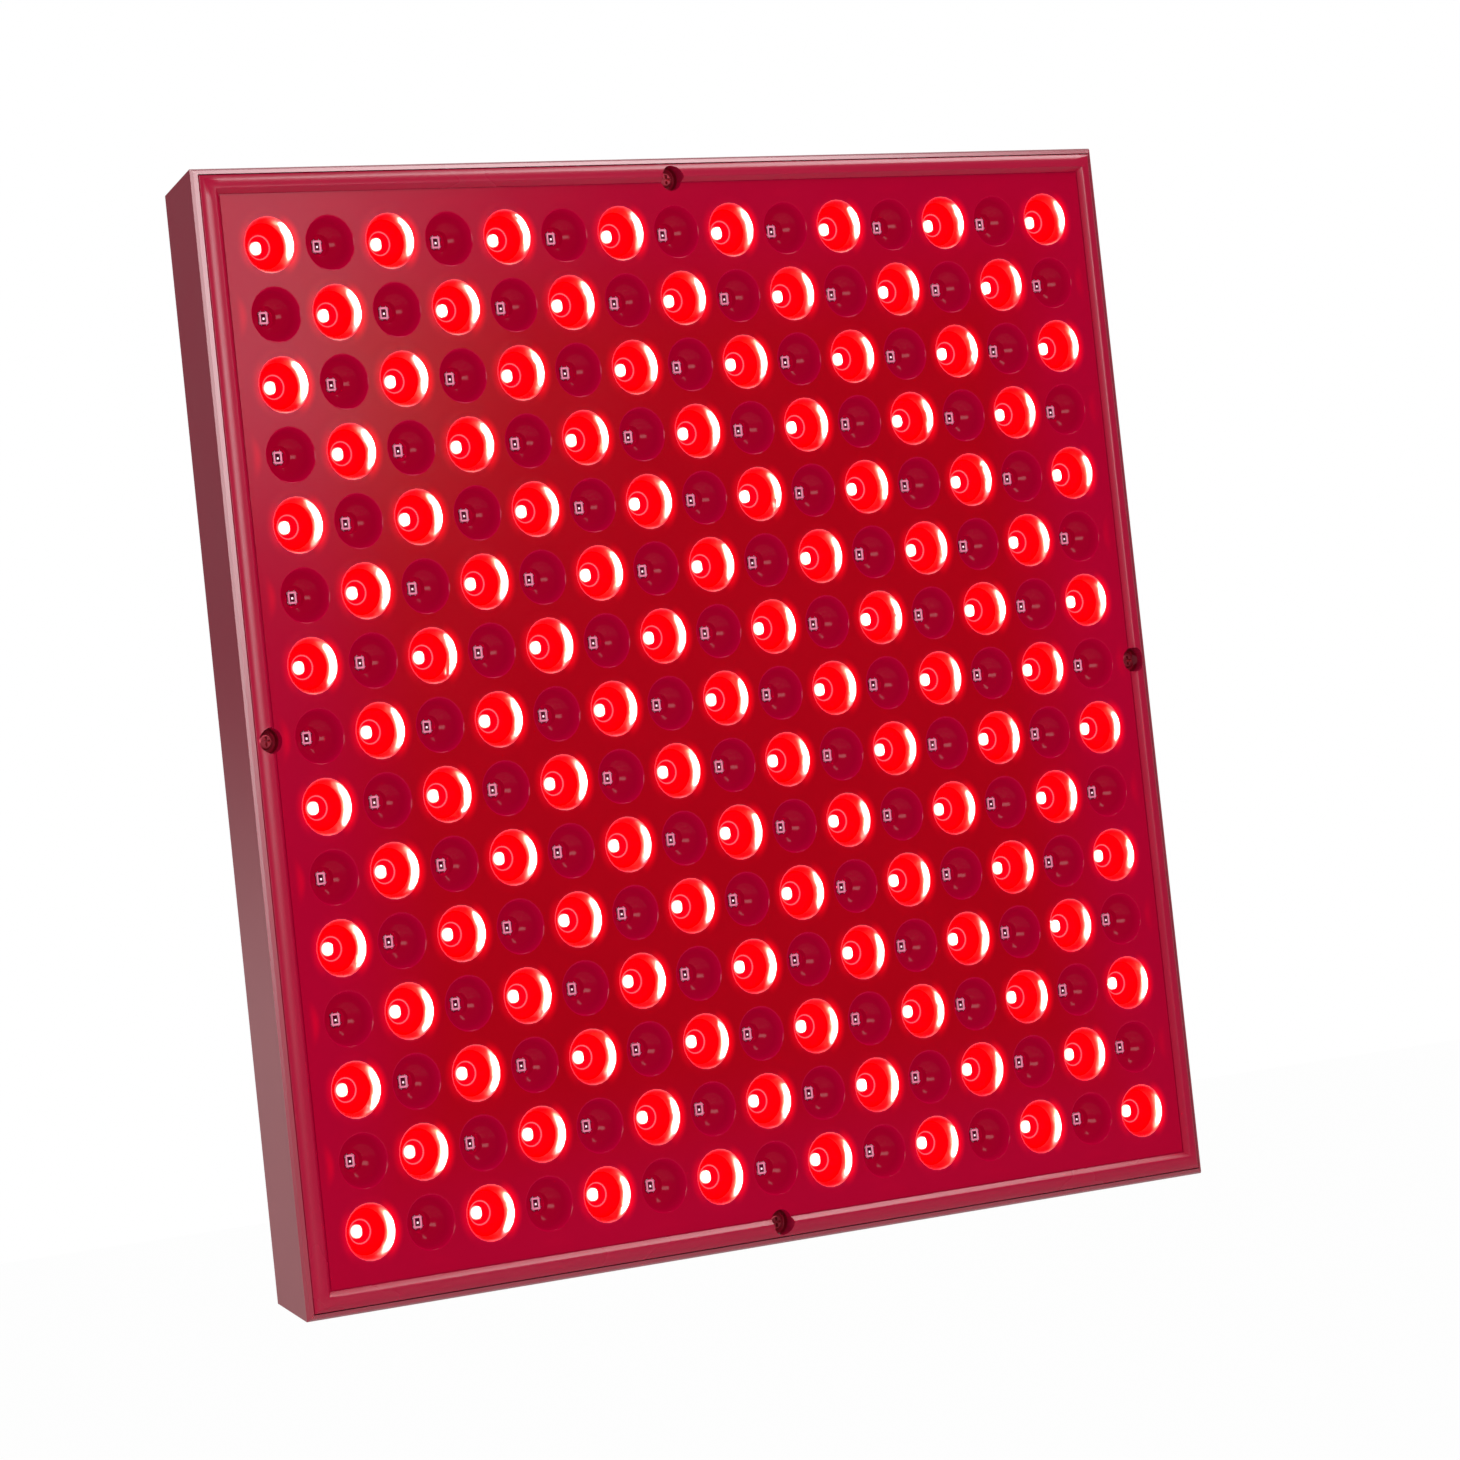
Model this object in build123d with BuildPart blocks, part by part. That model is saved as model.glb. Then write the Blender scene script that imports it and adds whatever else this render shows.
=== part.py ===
from build123d import *
import os
from math import cos, radians, sin

# Red light therapy panel, hung upright against a wall or a door.
# X runs across the panel, Z runs up it, and the lit face looks along -Y.
# The origin is the middle of the plane where the panel touches the wall.
# A depth is counted from that plane towards the lit face. Lengths are in millimetres.

# Outline of the panel
panel_size = 310.0
panel_thickness = 30.0
standoff = 4.9
wall_run = 21.8
wall_draft = 4.0
crest_rise = 1.5

# Rear housing
side_wall = 2.4
back_wall = 2.2
lip_width = 1.6
lip_shoulder = 0.55
shoulder_rise = 0.95
lip_rise = 1.5
ledge_drop = 0.5
hump_width = 140.0
hump_height = 100.0
hump_slope = 4.0
vent_length = 26.0
vent_width = 2.4
vent_pitch = 8.0
vent_count = 13
vent_gap = 10.0

# Front cover
seam_gap = 0.25
seam_drop = 0.15
knee_inset = 3.3
knee_rise = 0.8
crest_inset = 5.7
bevel_width = 1.4
groove_width = 0.4
groove_depth = 0.35
plate_wall = 2.0
relief_wall = 2.0

# Reflector cups
pitch = 19.1
rows = 15
cup_rim_radius = 7.5
cup_hole_radius = 3.1
cup_depth = 5.8
cup_floor = 1.8
cup_wall = 1.4
cup_rim_slope_deg = 85

# Light-emitting diodes and their board
diode_drop = 7.0
diode_width = 2.8
diode_length = 3.5
diode_height = 0.8
board_size = 285.0
board_wall = 1.6
board_corner = 4.0
sheet_wall = 0.4
sheet_margin = 6.0

# Screws
screw_fit = 0.05
front_screw_inset = 6.0
front_screw_radius = 1.25
front_screw_length = 8.0
front_head_radius = 2.3
front_head_height = 1.6
well_radius = 3.6
well_wall = 1.2
well_depth = 4.1
well_floor = 1.6
boss_clearance = 1.2
board_screw_radius = 1.5
board_screw_length = 7.0
board_head_radius = 2.7
board_head_height = 1.8
post_radius = 3.6
small_screw_radius = 1.2
small_screw_length = 4.5
small_head_radius = 2.2
small_head_height = 1.4
small_post_radius = 2.9
recess_width = 0.7
recess_depth_share = 0.6
recess_span_share = 1.2

# Hangers on the back
hanger_x = 112.0
hanger_top_z = 126.0
hanger_bottom_z = -118.0
hanger_width = 12.0
hanger_length = 15.0
hanger_sheet = 1.2
hanger_hole_up = 9.5
knuckle_radius = 2.0
knuckle_length = 10.0
ring_wire_radius = 1.1
ring_fit = 0.05
ring_half_width = 7.6
ring_side = 5.0
ring_corner = 1.6
hanger_screw_radius = 1.35
hanger_screw_length = 7.0
hanger_head_radius = 2.6
hanger_head_height = 1.4
hanger_boss_radius = 3.6
hanger_boss_height = 6.0
bumper_x = 137.0
bumper_radius = 6.0
bumper_bevel = 0.6

# Mains inlet with two pins
pocket_inset = 0.4
pocket_margin = 0.6
pad_wall = 2.4
pad_margin = 3.0
inlet_x = -17.0
inlet_flange_width = 24.0
inlet_flange_height = 12.4
inlet_flange_wall = 1.4
inlet_flange_corner = 2.0
inlet_body_width = 17.4
inlet_body_height = 10.4
inlet_body_length = 16.6
inlet_cavity_width = 14.8
inlet_cavity_height = 8.0
inlet_waist_height = 6.6
inlet_cavity_depth = 12.0
inlet_latch = 0.8
inlet_latch_length = 3.0
inlet_latch_width = 4.0
body_clearance = 0.15
pin_radius = 1.18
pin_spacing = 8.6
pin_length = 9.5
pin_fit = 0.03
blade_width = 4.0
blade_wall = 0.8
blade_length = 7.0

# Rocker switch
switch_x = 20.0
bezel_width = 17.0
bezel_height = 11.4
bezel_wall = 1.6
bezel_corner = 1.0
switch_body_width = 14.4
switch_body_height = 9.0
switch_body_length = 11.5
rocker_half_length = 5.6
rocker_thickness = 6.0
rocker_clearance = 0.6
rocker_side_gap = 0.2
rocker_tilt_deg = 8
rocker_edge = 2.2
rocker_bottom = 2.4
rocker_pivot_sink = 2.6
pivot_radius = 0.9
pivot_reach = 0.7
pivot_fit = 0.05
rocker_well = 8.0
switch_blade_spacing = 6.0
switch_blade_length = 6.0

# Driver
driver_width = 116.0
driver_height = 78.0
driver_wall = 1.6
driver_standoff = 4.0
driver_screw_inset = 4.0
component_gap = 0.5
core_width = 26.0
core_height = 22.0
core_thickness = 6.0
core_web = 5.0
coil_thickness = 9.6
transformer_x = 6.0
transformer_z = 2.0
bulk_capacitor_radius = 5.0
bulk_capacitor_length = 20.0
bulk_capacitor_x = -26.0
bulk_capacitor_z = -10.0
bulk_capacitor_pitch = 11.0
output_capacitor_radius = 4.0
output_capacitor_length = 14.0
output_capacitor_x = 38.0
output_capacitor_z = 8.0
output_capacitor_pitch = 9.0
capacitor_end = 1.2
capacitor_groove = 0.35
choke_radius = 7.5
choke_bore = 3.4
choke_thickness = 7.0
choke_round = 1.6
choke_x = -34.0
choke_z = 20.0
rectifier_size = (12.0, 4.0, 8.0)
rectifier_x = -46.0
rectifier_z = 4.0
film_size = (18.0, 9.6, 8.0)
film_x = 2.0
film_z = -24.0
fuse_radius = 2.6
fuse_length = 20.0
fuse_cap_length = 5.0
fuse_cap_wall = 0.3
fuse_x = -46.0
fuse_z = -20.0
heatsink_length = 34.0
heatsink_height = 10.0
heatsink_wall = 1.5
heatsink_fin = 8.0
heatsink_x = 4.0
heatsink_z = 26.0
transistor_size = (10.0, 2.6, 8.0)
terminal_width = 22.0
terminal_height = 10.0
terminal_thickness = 10.4
terminal_bore = 1.4
terminal_bore_depth = 6.0
input_terminal_x = -24.0
output_terminal_x = 30.0
terminal_wire_spacing = 10.0
terminal_seat = 3.0

# Leads inside the housing
lead_radius = 1.0
lead_bend = 5.0
live_arch_rise = 15.0
switched_turn_rise = 29.0
neutral_bend_rise = 11.0
neutral_slant_rise = 16.0
output_turn_rise = 11.0
feed_bend = 3.0
feed_column = 0.5
feed_row = 3.5
feed_pin_radius = 1.3
feed_pin_back = 3.0
feed_pin_front = 1.2
feed_flange_radius = 2.4
feed_flange_wall = 0.8

# Past every face that a cut runs through
overrun = 2.0

# Depths and half widths worked out from the sizes above
panel_half = panel_size / 2
back_half = panel_half - wall_draft
edge_depth = standoff + wall_run
plate_depth = panel_thickness - crest_rise
lip_depth = edge_depth + lip_rise
ledge_depth = edge_depth - ledge_drop
floor_depth = standoff + back_wall
cover_half = panel_half - lip_width - seam_gap
plate_half = panel_half - crest_inset - bevel_width
diode_face_depth = plate_depth - diode_drop
board_front = diode_face_depth - diode_height
board_back = board_front - board_wall
cup_floor_depth = plate_depth - cup_depth
cup_foot_depth = cup_floor_depth - cup_floor
well_bottom = plate_depth - well_depth
tab_bottom = well_bottom - well_floor
lean = wall_draft / wall_run
bar_depth = standoff - knuckle_radius
driver_back = back_wall + driver_standoff
driver_front = driver_back + driver_wall
terminal_depth = driver_front + terminal_thickness / 2
socket_depth = terminal_depth
pocket_floor = -(back_half - pocket_inset)
pocket_height = inlet_flange_height + 2 * pocket_margin
pocket_spans = [(inlet_x, inlet_flange_width), (switch_x, bezel_width)]


def layer(depth):
    """The plane at a depth, seen from the lit face: X across, Z up."""
    return Plane.XZ.offset(depth)


def wall_half(depth):
    """Half width over the outside of the leaning side walls."""
    return back_half + lean * (depth - standoff)


def frustum(half_back, depth_back, half_front, depth_front, mode=Mode.ADD):
    """A square block between two depths, with its own half width at each."""
    with BuildSketch(layer(depth_back)) as back_edge:
        Rectangle(2 * half_back, 2 * half_back)
    with BuildSketch(layer(depth_front)) as front_edge:
        Rectangle(2 * half_front, 2 * half_front)
    loft([back_edge.sketch, front_edge.sketch], ruled=True, mode=mode)


def slab(width, height, depth_back, depth_front, mode=Mode.ADD):
    """A plain rectangular block between two depths."""
    with BuildSketch(layer(depth_back)) as face:
        Rectangle(width, height)
    extrude(face.sketch, amount=depth_front - depth_back, mode=mode)


def disc(radius, depth_back, depth_front, mode=Mode.ADD):
    """A round block between two depths, on the axis of the open part."""
    with BuildSketch(layer(depth_back)) as face:
        Circle(radius)
    extrude(face.sketch, amount=depth_front - depth_back, mode=mode)


def discs(places, radius, depth_back, depth_front, mode=Mode.ADD):
    """Round blocks between two depths, one at each (x, z) place."""
    with BuildSketch(layer(depth_back)) as faces:
        with Locations(*places):
            Circle(radius)
    extrude(faces.sketch, amount=depth_front - depth_back, mode=mode)


def cross_recess(head_depth, toward, head_radius, head_height):
    """The cross that a screwdriver turns, cut into a screw's head."""
    reach = head_height * recess_depth_share
    for turned in (False, True):
        span = head_radius * recess_span_share
        size = (recess_width, span) if turned else (span, recess_width)
        with BuildSketch(layer(head_depth)) as slot:
            Rectangle(*size)
        extrude(slot.sketch, amount=-toward * reach, mode=Mode.SUBTRACT)


def grid_places(columns, lines):
    """Every (x, z) place where a column and a line of the cup grid cross."""
    return [(column * pitch, line * pitch) for column in columns for line in lines]


# Places in the cup grid: the lit diodes and the dark ones alternate, and the corners are lit
steps = [index - (rows - 1) / 2 for index in range(rows)]
red_places = []
infrared_places = []
for column_index, column in enumerate(steps):
    for line_index, line in enumerate(steps):
        place = (column * pitch, line * pitch)
        if (column_index + line_index) % 2 == 0:
            red_places.append(place)
        else:
            infrared_places.append(place)
all_places = red_places + infrared_places

# Screw places: between four cups near the border, and in the middle of each side
outer_column = (rows - 2) / 2
inner_column = 3 / 2
board_screw_places = grid_places((-outer_column, outer_column), (-outer_column, outer_column))
board_screw_places += grid_places((-outer_column, outer_column), (-inner_column, inner_column))
board_screw_places += grid_places((-inner_column, inner_column), (-outer_column, outer_column))
front_screw_reach = panel_half - front_screw_inset
front_screw_places = [
    (front_screw_reach, 0),
    (-front_screw_reach, 0),
    (0, front_screw_reach),
    (0, -front_screw_reach),
]
driver_screw_places = [
    (side * (driver_width / 2 - driver_screw_inset), height * (driver_height / 2 - driver_screw_inset))
    for side in (-1, 1)
    for height in (-1, 1)
]
hanger_places = [
    (side * hanger_x, height) for height in (hanger_top_z, hanger_bottom_z) for side in (-1, 1)
]
hanger_names = ["ring_top_left", "ring_top_right", "ring_bottom_left", "ring_bottom_right"]
hanger_screw_places = [(x, z + hanger_hole_up) for x, z in hanger_places]
bumper_places = [(x * bumper_x, z * bumper_x) for x in (-1, 1) for z in (-1, 1)]
feed_places = [(side * feed_column * pitch, feed_row * pitch) for side in (-1, 1)]

os.makedirs("parts", exist_ok=True)

# Rear housing: a tub that leans out towards its front lip
with BuildPart() as rear_housing:
    frustum(back_half, standoff, panel_half, edge_depth)
    frustum(panel_half, edge_depth, panel_half - lip_shoulder, edge_depth + shoulder_rise)
    frustum(
        panel_half - lip_shoulder,
        edge_depth + shoulder_rise,
        panel_half - lip_width,
        lip_depth,
    )
    # The raised middle of the back, which holds the driver and touches the wall
    with BuildSketch(layer(0)):
        Rectangle(hump_width - 2 * hump_slope, hump_height - 2 * hump_slope)
    with BuildSketch(layer(standoff)):
        Rectangle(hump_width, hump_height)
    loft(ruled=True)
    # The hollow behind the board, the seat of the front cover and the driver's hollow
    frustum(
        wall_half(floor_depth) - side_wall,
        floor_depth,
        wall_half(ledge_depth) - side_wall,
        ledge_depth,
        mode=Mode.SUBTRACT,
    )
    seat_half = panel_half - lip_width
    frustum(seat_half, ledge_depth, seat_half, lip_depth + overrun, mode=Mode.SUBTRACT)
    slab(
        hump_width - 2 * hump_slope - 2 * back_wall,
        hump_height - 2 * hump_slope - 2 * back_wall,
        back_wall,
        floor_depth + overrun,
        mode=Mode.SUBTRACT,
    )
    # The pad behind the inlet and the switch, which follows the leaning bottom wall
    pad_left = inlet_x - inlet_flange_width / 2 - pad_margin
    pad_right = switch_x + bezel_width / 2 + pad_margin
    pad_front = socket_depth + pocket_height / 2 + pad_margin
    pad_top = pocket_floor + pad_wall
    with BuildSketch(Plane.YZ.offset(pad_left)):
        Polygon(
            (-standoff, pad_top),
            (-pad_front, pad_top),
            (-pad_front, -wall_half(pad_front) + side_wall / 2),
            (-standoff, -back_half + side_wall / 2),
            align=None,
        )
    extrude(amount=pad_right - pad_left)
    # Posts for the board, the driver and the hangers
    discs(board_screw_places, post_radius, standoff, board_back)
    discs(driver_screw_places, small_post_radius, 0, driver_back)
    discs(hanger_screw_places, hanger_boss_radius, standoff, floor_depth + hanger_boss_height)
    # Bosses in the side walls under the screw wells
    boss_inner = front_screw_reach - well_radius - boss_clearance
    boss_reach = wall_half(tab_bottom) - side_wall / 2 - boss_inner
    boss_width = 2 * (well_radius + well_wall)
    boss_centre = boss_inner + boss_reach / 2
    with BuildSketch(layer(standoff)):
        with Locations((boss_centre, 0), (-boss_centre, 0)):
            Rectangle(boss_reach, boss_width)
        with Locations((0, boss_centre), (0, -boss_centre)):
            Rectangle(boss_width, boss_reach)
    boss_block = extrude(amount=tab_bottom - standoff, mode=Mode.PRIVATE)
    with BuildSketch(layer(standoff)):
        Rectangle(2 * (back_half - side_wall / 2), 2 * (back_half - side_wall / 2))
    with BuildSketch(layer(tab_bottom)):
        Rectangle(
            2 * (wall_half(tab_bottom) - side_wall / 2),
            2 * (wall_half(tab_bottom) - side_wall / 2),
        )
    boss_bound = loft(ruled=True, mode=Mode.PRIVATE)
    add(boss_block & boss_bound)
    # Screw holes
    discs(
        front_screw_places,
        front_screw_radius + screw_fit,
        tab_bottom - front_screw_length,
        tab_bottom + overrun,
        mode=Mode.SUBTRACT,
    )
    discs(
        board_screw_places,
        board_screw_radius + screw_fit,
        board_front - board_screw_length - overrun,
        board_back + overrun,
        mode=Mode.SUBTRACT,
    )
    discs(
        driver_screw_places,
        small_screw_radius + screw_fit,
        back_wall,
        driver_back + overrun,
        mode=Mode.SUBTRACT,
    )
    discs(
        hanger_screw_places,
        hanger_screw_radius + screw_fit,
        standoff - overrun,
        standoff + hanger_screw_length,
        mode=Mode.SUBTRACT,
    )
    # Vent slots above and below the raised middle
    vent_z = hump_height / 2 + vent_gap + vent_length / 2
    with BuildSketch(layer(standoff - overrun)):
        with Locations((0, vent_z), (0, -vent_z)):
            with GridLocations(vent_pitch, vent_pitch, vent_count, 1):
                SlotOverall(vent_length, vent_width, rotation=90)
    extrude(amount=back_wall + 2 * overrun, mode=Mode.SUBTRACT)
    # The two flat pockets in the bottom wall, and the hole through each
    for x, width in pocket_spans:
        with Locations((x, -socket_depth, pocket_floor - wall_draft)):
            Box(width + 2 * pocket_margin, pocket_height, 2 * wall_draft, mode=Mode.SUBTRACT)
    for x, width, height in (
        (inlet_x, inlet_body_width, inlet_body_height),
        (switch_x, switch_body_width, switch_body_height),
    ):
        with Locations((x, -socket_depth, pocket_floor)):
            Box(
                width + 2 * body_clearance,
                height + 2 * body_clearance,
                4 * pad_wall,
                mode=Mode.SUBTRACT,
            )
rear_housing.part.label = "rear_housing"
export_step(rear_housing.part, "parts/rear_housing.step")

# One reflector cup, as its outer body and as the space inside it
rim_slope = (-cos(radians(cup_rim_slope_deg)), -sin(radians(cup_rim_slope_deg)))
cup_root_depth = plate_depth - plate_wall / 2
with BuildPart() as cup_body:
    with BuildSketch(Plane.XZ):
        with BuildLine():
            Polyline(
                (cup_rim_radius + cup_wall, cup_root_depth),
                (cup_hole_radius + cup_wall, cup_foot_depth),
                (0, cup_foot_depth),
                (0, cup_root_depth),
                close=True,
            )
        make_face()
    revolve(axis=Axis.Z)
with BuildPart() as cup_space:
    with BuildSketch(Plane.XZ):
        with BuildLine():
            rim = (cup_rim_radius, plate_depth)
            foot = (cup_hole_radius, cup_floor_depth)
            TangentArc(rim, foot, tangent=rim_slope)
            Polyline(
                foot,
                (cup_hole_radius, cup_foot_depth - overrun),
                (0, cup_foot_depth - overrun),
                (0, plate_depth + overrun),
                (cup_rim_radius, plate_depth + overrun),
                rim,
            )
        make_face()
    revolve(axis=Axis.Z)

# Front cover: a raised border with two slopes, the plate and all the cups, in one moulding
with BuildPart() as front_cover:
    seam_depth = plate_depth - seam_drop
    frustum(cover_half, ledge_depth, cover_half, seam_depth)
    frustum(cover_half, seam_depth, panel_half - knee_inset, plate_depth + knee_rise)
    frustum(
        panel_half - knee_inset,
        plate_depth + knee_rise,
        panel_half - crest_inset,
        panel_thickness,
    )
    # The plate lies lower than the crest, behind an inner bevel and a fine groove
    bevel_over = bevel_width * overrun / crest_rise
    frustum(
        plate_half,
        plate_depth,
        plate_half + bevel_width + bevel_over,
        panel_thickness + overrun,
        mode=Mode.SUBTRACT,
    )
    groove_half = plate_half - groove_width
    with BuildSketch(layer(plate_depth - groove_depth)):
        Rectangle(2 * plate_half, 2 * plate_half)
        Rectangle(2 * groove_half, 2 * groove_half, mode=Mode.SUBTRACT)
    extrude(amount=groove_depth + overrun, mode=Mode.SUBTRACT)
    # The underside is hollow behind the plate and under the crest
    plate_back = plate_depth - plate_wall
    relief_inner = plate_half + bevel_width - relief_wall / 2
    relief_outer = panel_half - knee_inset
    frustum(relief_outer, ledge_depth - overrun, relief_outer, plate_back, mode=Mode.SUBTRACT)
    with BuildSketch(layer(plate_back - overrun)):
        Rectangle(2 * relief_outer, 2 * relief_outer)
        Rectangle(2 * relief_inner, 2 * relief_inner, mode=Mode.SUBTRACT)
    extrude(amount=panel_thickness - relief_wall - plate_back + overrun, mode=Mode.SUBTRACT)
    # Screw wells in the middle of each side, cut flat where the housing wall passes
    well_bound = wall_half(tab_bottom) - side_wall - seam_gap
    discs(front_screw_places, well_radius + well_wall, tab_bottom, plate_depth - plate_wall / 2)
    with BuildSketch(layer(tab_bottom - overrun)):
        Rectangle(2 * panel_half, 2 * panel_half)
        Rectangle(2 * well_bound, 2 * well_bound, mode=Mode.SUBTRACT)
    extrude(amount=ledge_depth - tab_bottom + overrun, mode=Mode.SUBTRACT)
    with BuildSketch(layer(ledge_depth - overrun)):
        Rectangle(2 * panel_half, 2 * panel_half)
        Rectangle(2 * cover_half, 2 * cover_half, mode=Mode.SUBTRACT)
    extrude(amount=panel_thickness - ledge_depth + 2 * overrun, mode=Mode.SUBTRACT)
    discs(
        front_screw_places,
        well_radius,
        well_bottom,
        panel_thickness + overrun,
        mode=Mode.SUBTRACT,
    )
    discs(
        front_screw_places,
        front_screw_radius + screw_fit,
        tab_bottom - overrun,
        well_bottom + overrun,
        mode=Mode.SUBTRACT,
    )
    with Locations(Plane.XZ):
        with Locations(*all_places):
            add(cup_body.part)
    with Locations(Plane.XZ):
        with Locations(*all_places):
            add(cup_space.part, mode=Mode.SUBTRACT)
front_cover.part.label = "front_cover"
export_step(front_cover.part, "parts/front_cover.step")

# Aluminium board that carries the diodes and spreads their heat
with BuildPart() as led_board:
    with BuildSketch(layer(board_back)):
        RectangleRounded(board_size, board_size, board_corner)
        with Locations(*board_screw_places):
            Circle(board_screw_radius + screw_fit, mode=Mode.SUBTRACT)
        with Locations(*feed_places):
            Circle(feed_pin_radius + screw_fit, mode=Mode.SUBTRACT)
    extrude(amount=board_wall)
led_board.part.label = "led_board"
export_step(led_board.part, "parts/led_board.step")

# The diodes: every second one shines red and the others shine infrared
for name, places in (("red_leds", red_places), ("infrared_leds", infrared_places)):
    with BuildPart() as diodes:
        with BuildSketch(layer(board_front)):
            with Locations(*places):
                Rectangle(diode_width, diode_length)
        extrude(amount=diode_height)
    diodes.part.label = name
    export_step(diodes.part, f"parts/{name}.step")

# Sheet that keeps the driver apart from the board
with BuildPart() as insulation_sheet:
    slab(
        driver_width + 2 * sheet_margin,
        driver_height + 2 * sheet_margin,
        board_back - sheet_wall,
        board_back,
    )
insulation_sheet.part.label = "insulation_sheet"
export_step(insulation_sheet.part, "parts/insulation_sheet.step")


def write_screws(name, places, seat, toward, shank_radius, shank_length, head_radius, head_height):
    """Pan head screws whose heads sit on a plane and face the front (1) or the back (-1)."""
    with BuildPart() as one:
        with BuildSketch(layer(seat)):
            Circle(head_radius)
        extrude(amount=toward * head_height)
        top = one.faces().sort_by(Axis.Y)[0 if toward > 0 else -1]
        fillet(top.edges(), head_height / 2)
        with BuildSketch(layer(seat)):
            Circle(shank_radius)
        extrude(amount=-toward * shank_length)
        cross_recess(seat + toward * head_height, toward, head_radius, head_height)
    with BuildPart() as screws:
        with Locations(*[(x, 0, z) for x, z in places]):
            add(one.part)
    screws.part.label = name
    export_step(screws.part, f"parts/{name}.step")


write_screws(
    "front_screws",
    front_screw_places,
    well_bottom,
    1,
    front_screw_radius,
    front_screw_length,
    front_head_radius,
    front_head_height,
)
write_screws(
    "board_screws",
    board_screw_places,
    board_front,
    1,
    board_screw_radius,
    board_screw_length,
    board_head_radius,
    board_head_height,
)
write_screws(
    "driver_screws",
    driver_screw_places,
    driver_front,
    1,
    small_screw_radius,
    small_screw_length,
    small_head_radius,
    small_head_height,
)
write_screws(
    "hanger_screws",
    hanger_screw_places,
    standoff - hanger_sheet,
    -1,
    hanger_screw_radius,
    hanger_screw_length,
    hanger_head_radius,
    hanger_head_height,
)

# Hanger plates: a sheet strip rolled round the straight bar of each ring
with BuildPart() as hanger_plate:
    with BuildSketch(layer(standoff - hanger_sheet)):
        with Locations((0, (hanger_length - knuckle_radius) / 2)):
            Rectangle(hanger_width, hanger_length + knuckle_radius)
        with Locations((0, hanger_hole_up)):
            Circle(hanger_screw_radius + screw_fit, mode=Mode.SUBTRACT)
    extrude(amount=hanger_sheet)
    with BuildSketch(Plane.YZ.offset(-knuckle_length / 2)):
        with Locations((-bar_depth, 0)):
            Circle(knuckle_radius)
    extrude(amount=knuckle_length)
    with BuildSketch(Plane.YZ.offset(-hanger_width / 2 - overrun)):
        with Locations((-bar_depth, 0)):
            Circle(ring_wire_radius + ring_fit)
    extrude(amount=hanger_width + 2 * overrun, mode=Mode.SUBTRACT)
with BuildPart() as hanger_plates:
    with Locations(*[(x, 0, z) for x, z in hanger_places]):
        add(hanger_plate.part)
hanger_plates.part.label = "hanger_plates"
export_step(hanger_plates.part, "parts/hanger_plates.step")

# One ring: a straight bar and a round bow, hanging from the bar
with BuildPart() as ring:
    with BuildLine(layer(bar_depth)) as ring_route:
        side_end = (ring_half_width, -ring_side)
        FilletPolyline((0, 0), (ring_half_width, 0), side_end, radius=ring_corner)
        CenterArc((0, -ring_side), ring_half_width, 0, -90)
    with BuildSketch(Plane(origin=(0, -bar_depth, 0), z_dir=(1, 0, 0))):
        Circle(ring_wire_radius)
    sweep(path=ring_route.line)
    mirror(about=Plane.YZ)
for name, (x, z) in zip(hanger_names, hanger_places):
    with BuildPart() as placed_ring:
        with Locations((x, 0, z)):
            add(ring.part)
    placed_ring.part.label = name
    export_step(placed_ring.part, f"parts/{name}.step")

# Rubber bumpers that hold the corners off the wall
with BuildPart() as bumper:
    disc(bumper_radius, 0, standoff)
    chamfer(bumper.faces().sort_by(Axis.Y)[-1].edges(), bumper_bevel)
with BuildPart() as corner_bumpers:
    with Locations(*[(x, 0, z) for x, z in bumper_places]):
        add(bumper.part)
corner_bumpers.part.label = "corner_bumpers"
export_step(corner_bumpers.part, "parts/corner_bumpers.step")

# Mains inlet: its flange lies on the pocket in the bottom wall, and its socket opens downwards
flange_face = pocket_floor - inlet_flange_wall
inlet_end = pocket_floor + inlet_body_length
cavity_floor = flange_face + inlet_cavity_depth
inlet_plane = Plane((inlet_x, -socket_depth, 0))
with BuildPart() as mains_inlet:
    with BuildSketch(inlet_plane.offset(flange_face)):
        RectangleRounded(inlet_flange_width, inlet_flange_height, inlet_flange_corner)
    extrude(amount=inlet_flange_wall)
    with BuildSketch(inlet_plane.offset(pocket_floor)):
        Rectangle(inlet_body_width, inlet_body_height)
    extrude(amount=inlet_body_length)
    latch_foot = pocket_floor + pad_wall + body_clearance
    with BuildSketch(inlet_plane.offset(latch_foot)):
        Rectangle(inlet_body_width + 2 * inlet_latch, inlet_latch_width)
    extrude(amount=inlet_latch_length)
    with BuildSketch(inlet_plane.offset(flange_face - overrun)):
        end_radius = inlet_cavity_height / 2
        end_place = inlet_cavity_width / 2 - end_radius
        with Locations((-end_place, 0), (end_place, 0)):
            Circle(end_radius)
        Rectangle(2 * end_place, inlet_waist_height)
    extrude(amount=inlet_cavity_depth + overrun, mode=Mode.SUBTRACT)
    with BuildSketch(inlet_plane.offset(cavity_floor - overrun)):
        with GridLocations(pin_spacing, pin_spacing, 2, 1):
            Circle(pin_radius + pin_fit)
    extrude(amount=inlet_body_length + overrun, mode=Mode.SUBTRACT)
mains_inlet.part.label = "mains_inlet"
export_step(mains_inlet.part, "parts/mains_inlet.step")

# The inlet's two pins, each with a blade behind the body
with BuildPart() as inlet_pins:
    with BuildSketch(inlet_plane.offset(cavity_floor - pin_length)):
        with GridLocations(pin_spacing, pin_spacing, 2, 1):
            Circle(pin_radius)
    extrude(amount=inlet_end - cavity_floor + pin_length)
    chamfer(inlet_pins.faces().group_by(Axis.Z)[0].edges(), pin_radius / 3)
    with BuildSketch(inlet_plane.offset(inlet_end)):
        with GridLocations(pin_spacing, pin_spacing, 2, 1):
            Rectangle(blade_width, blade_wall)
    extrude(amount=blade_length)
inlet_pins.part.label = "inlet_pins"
export_step(inlet_pins.part, "parts/inlet_pins.step")

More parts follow.
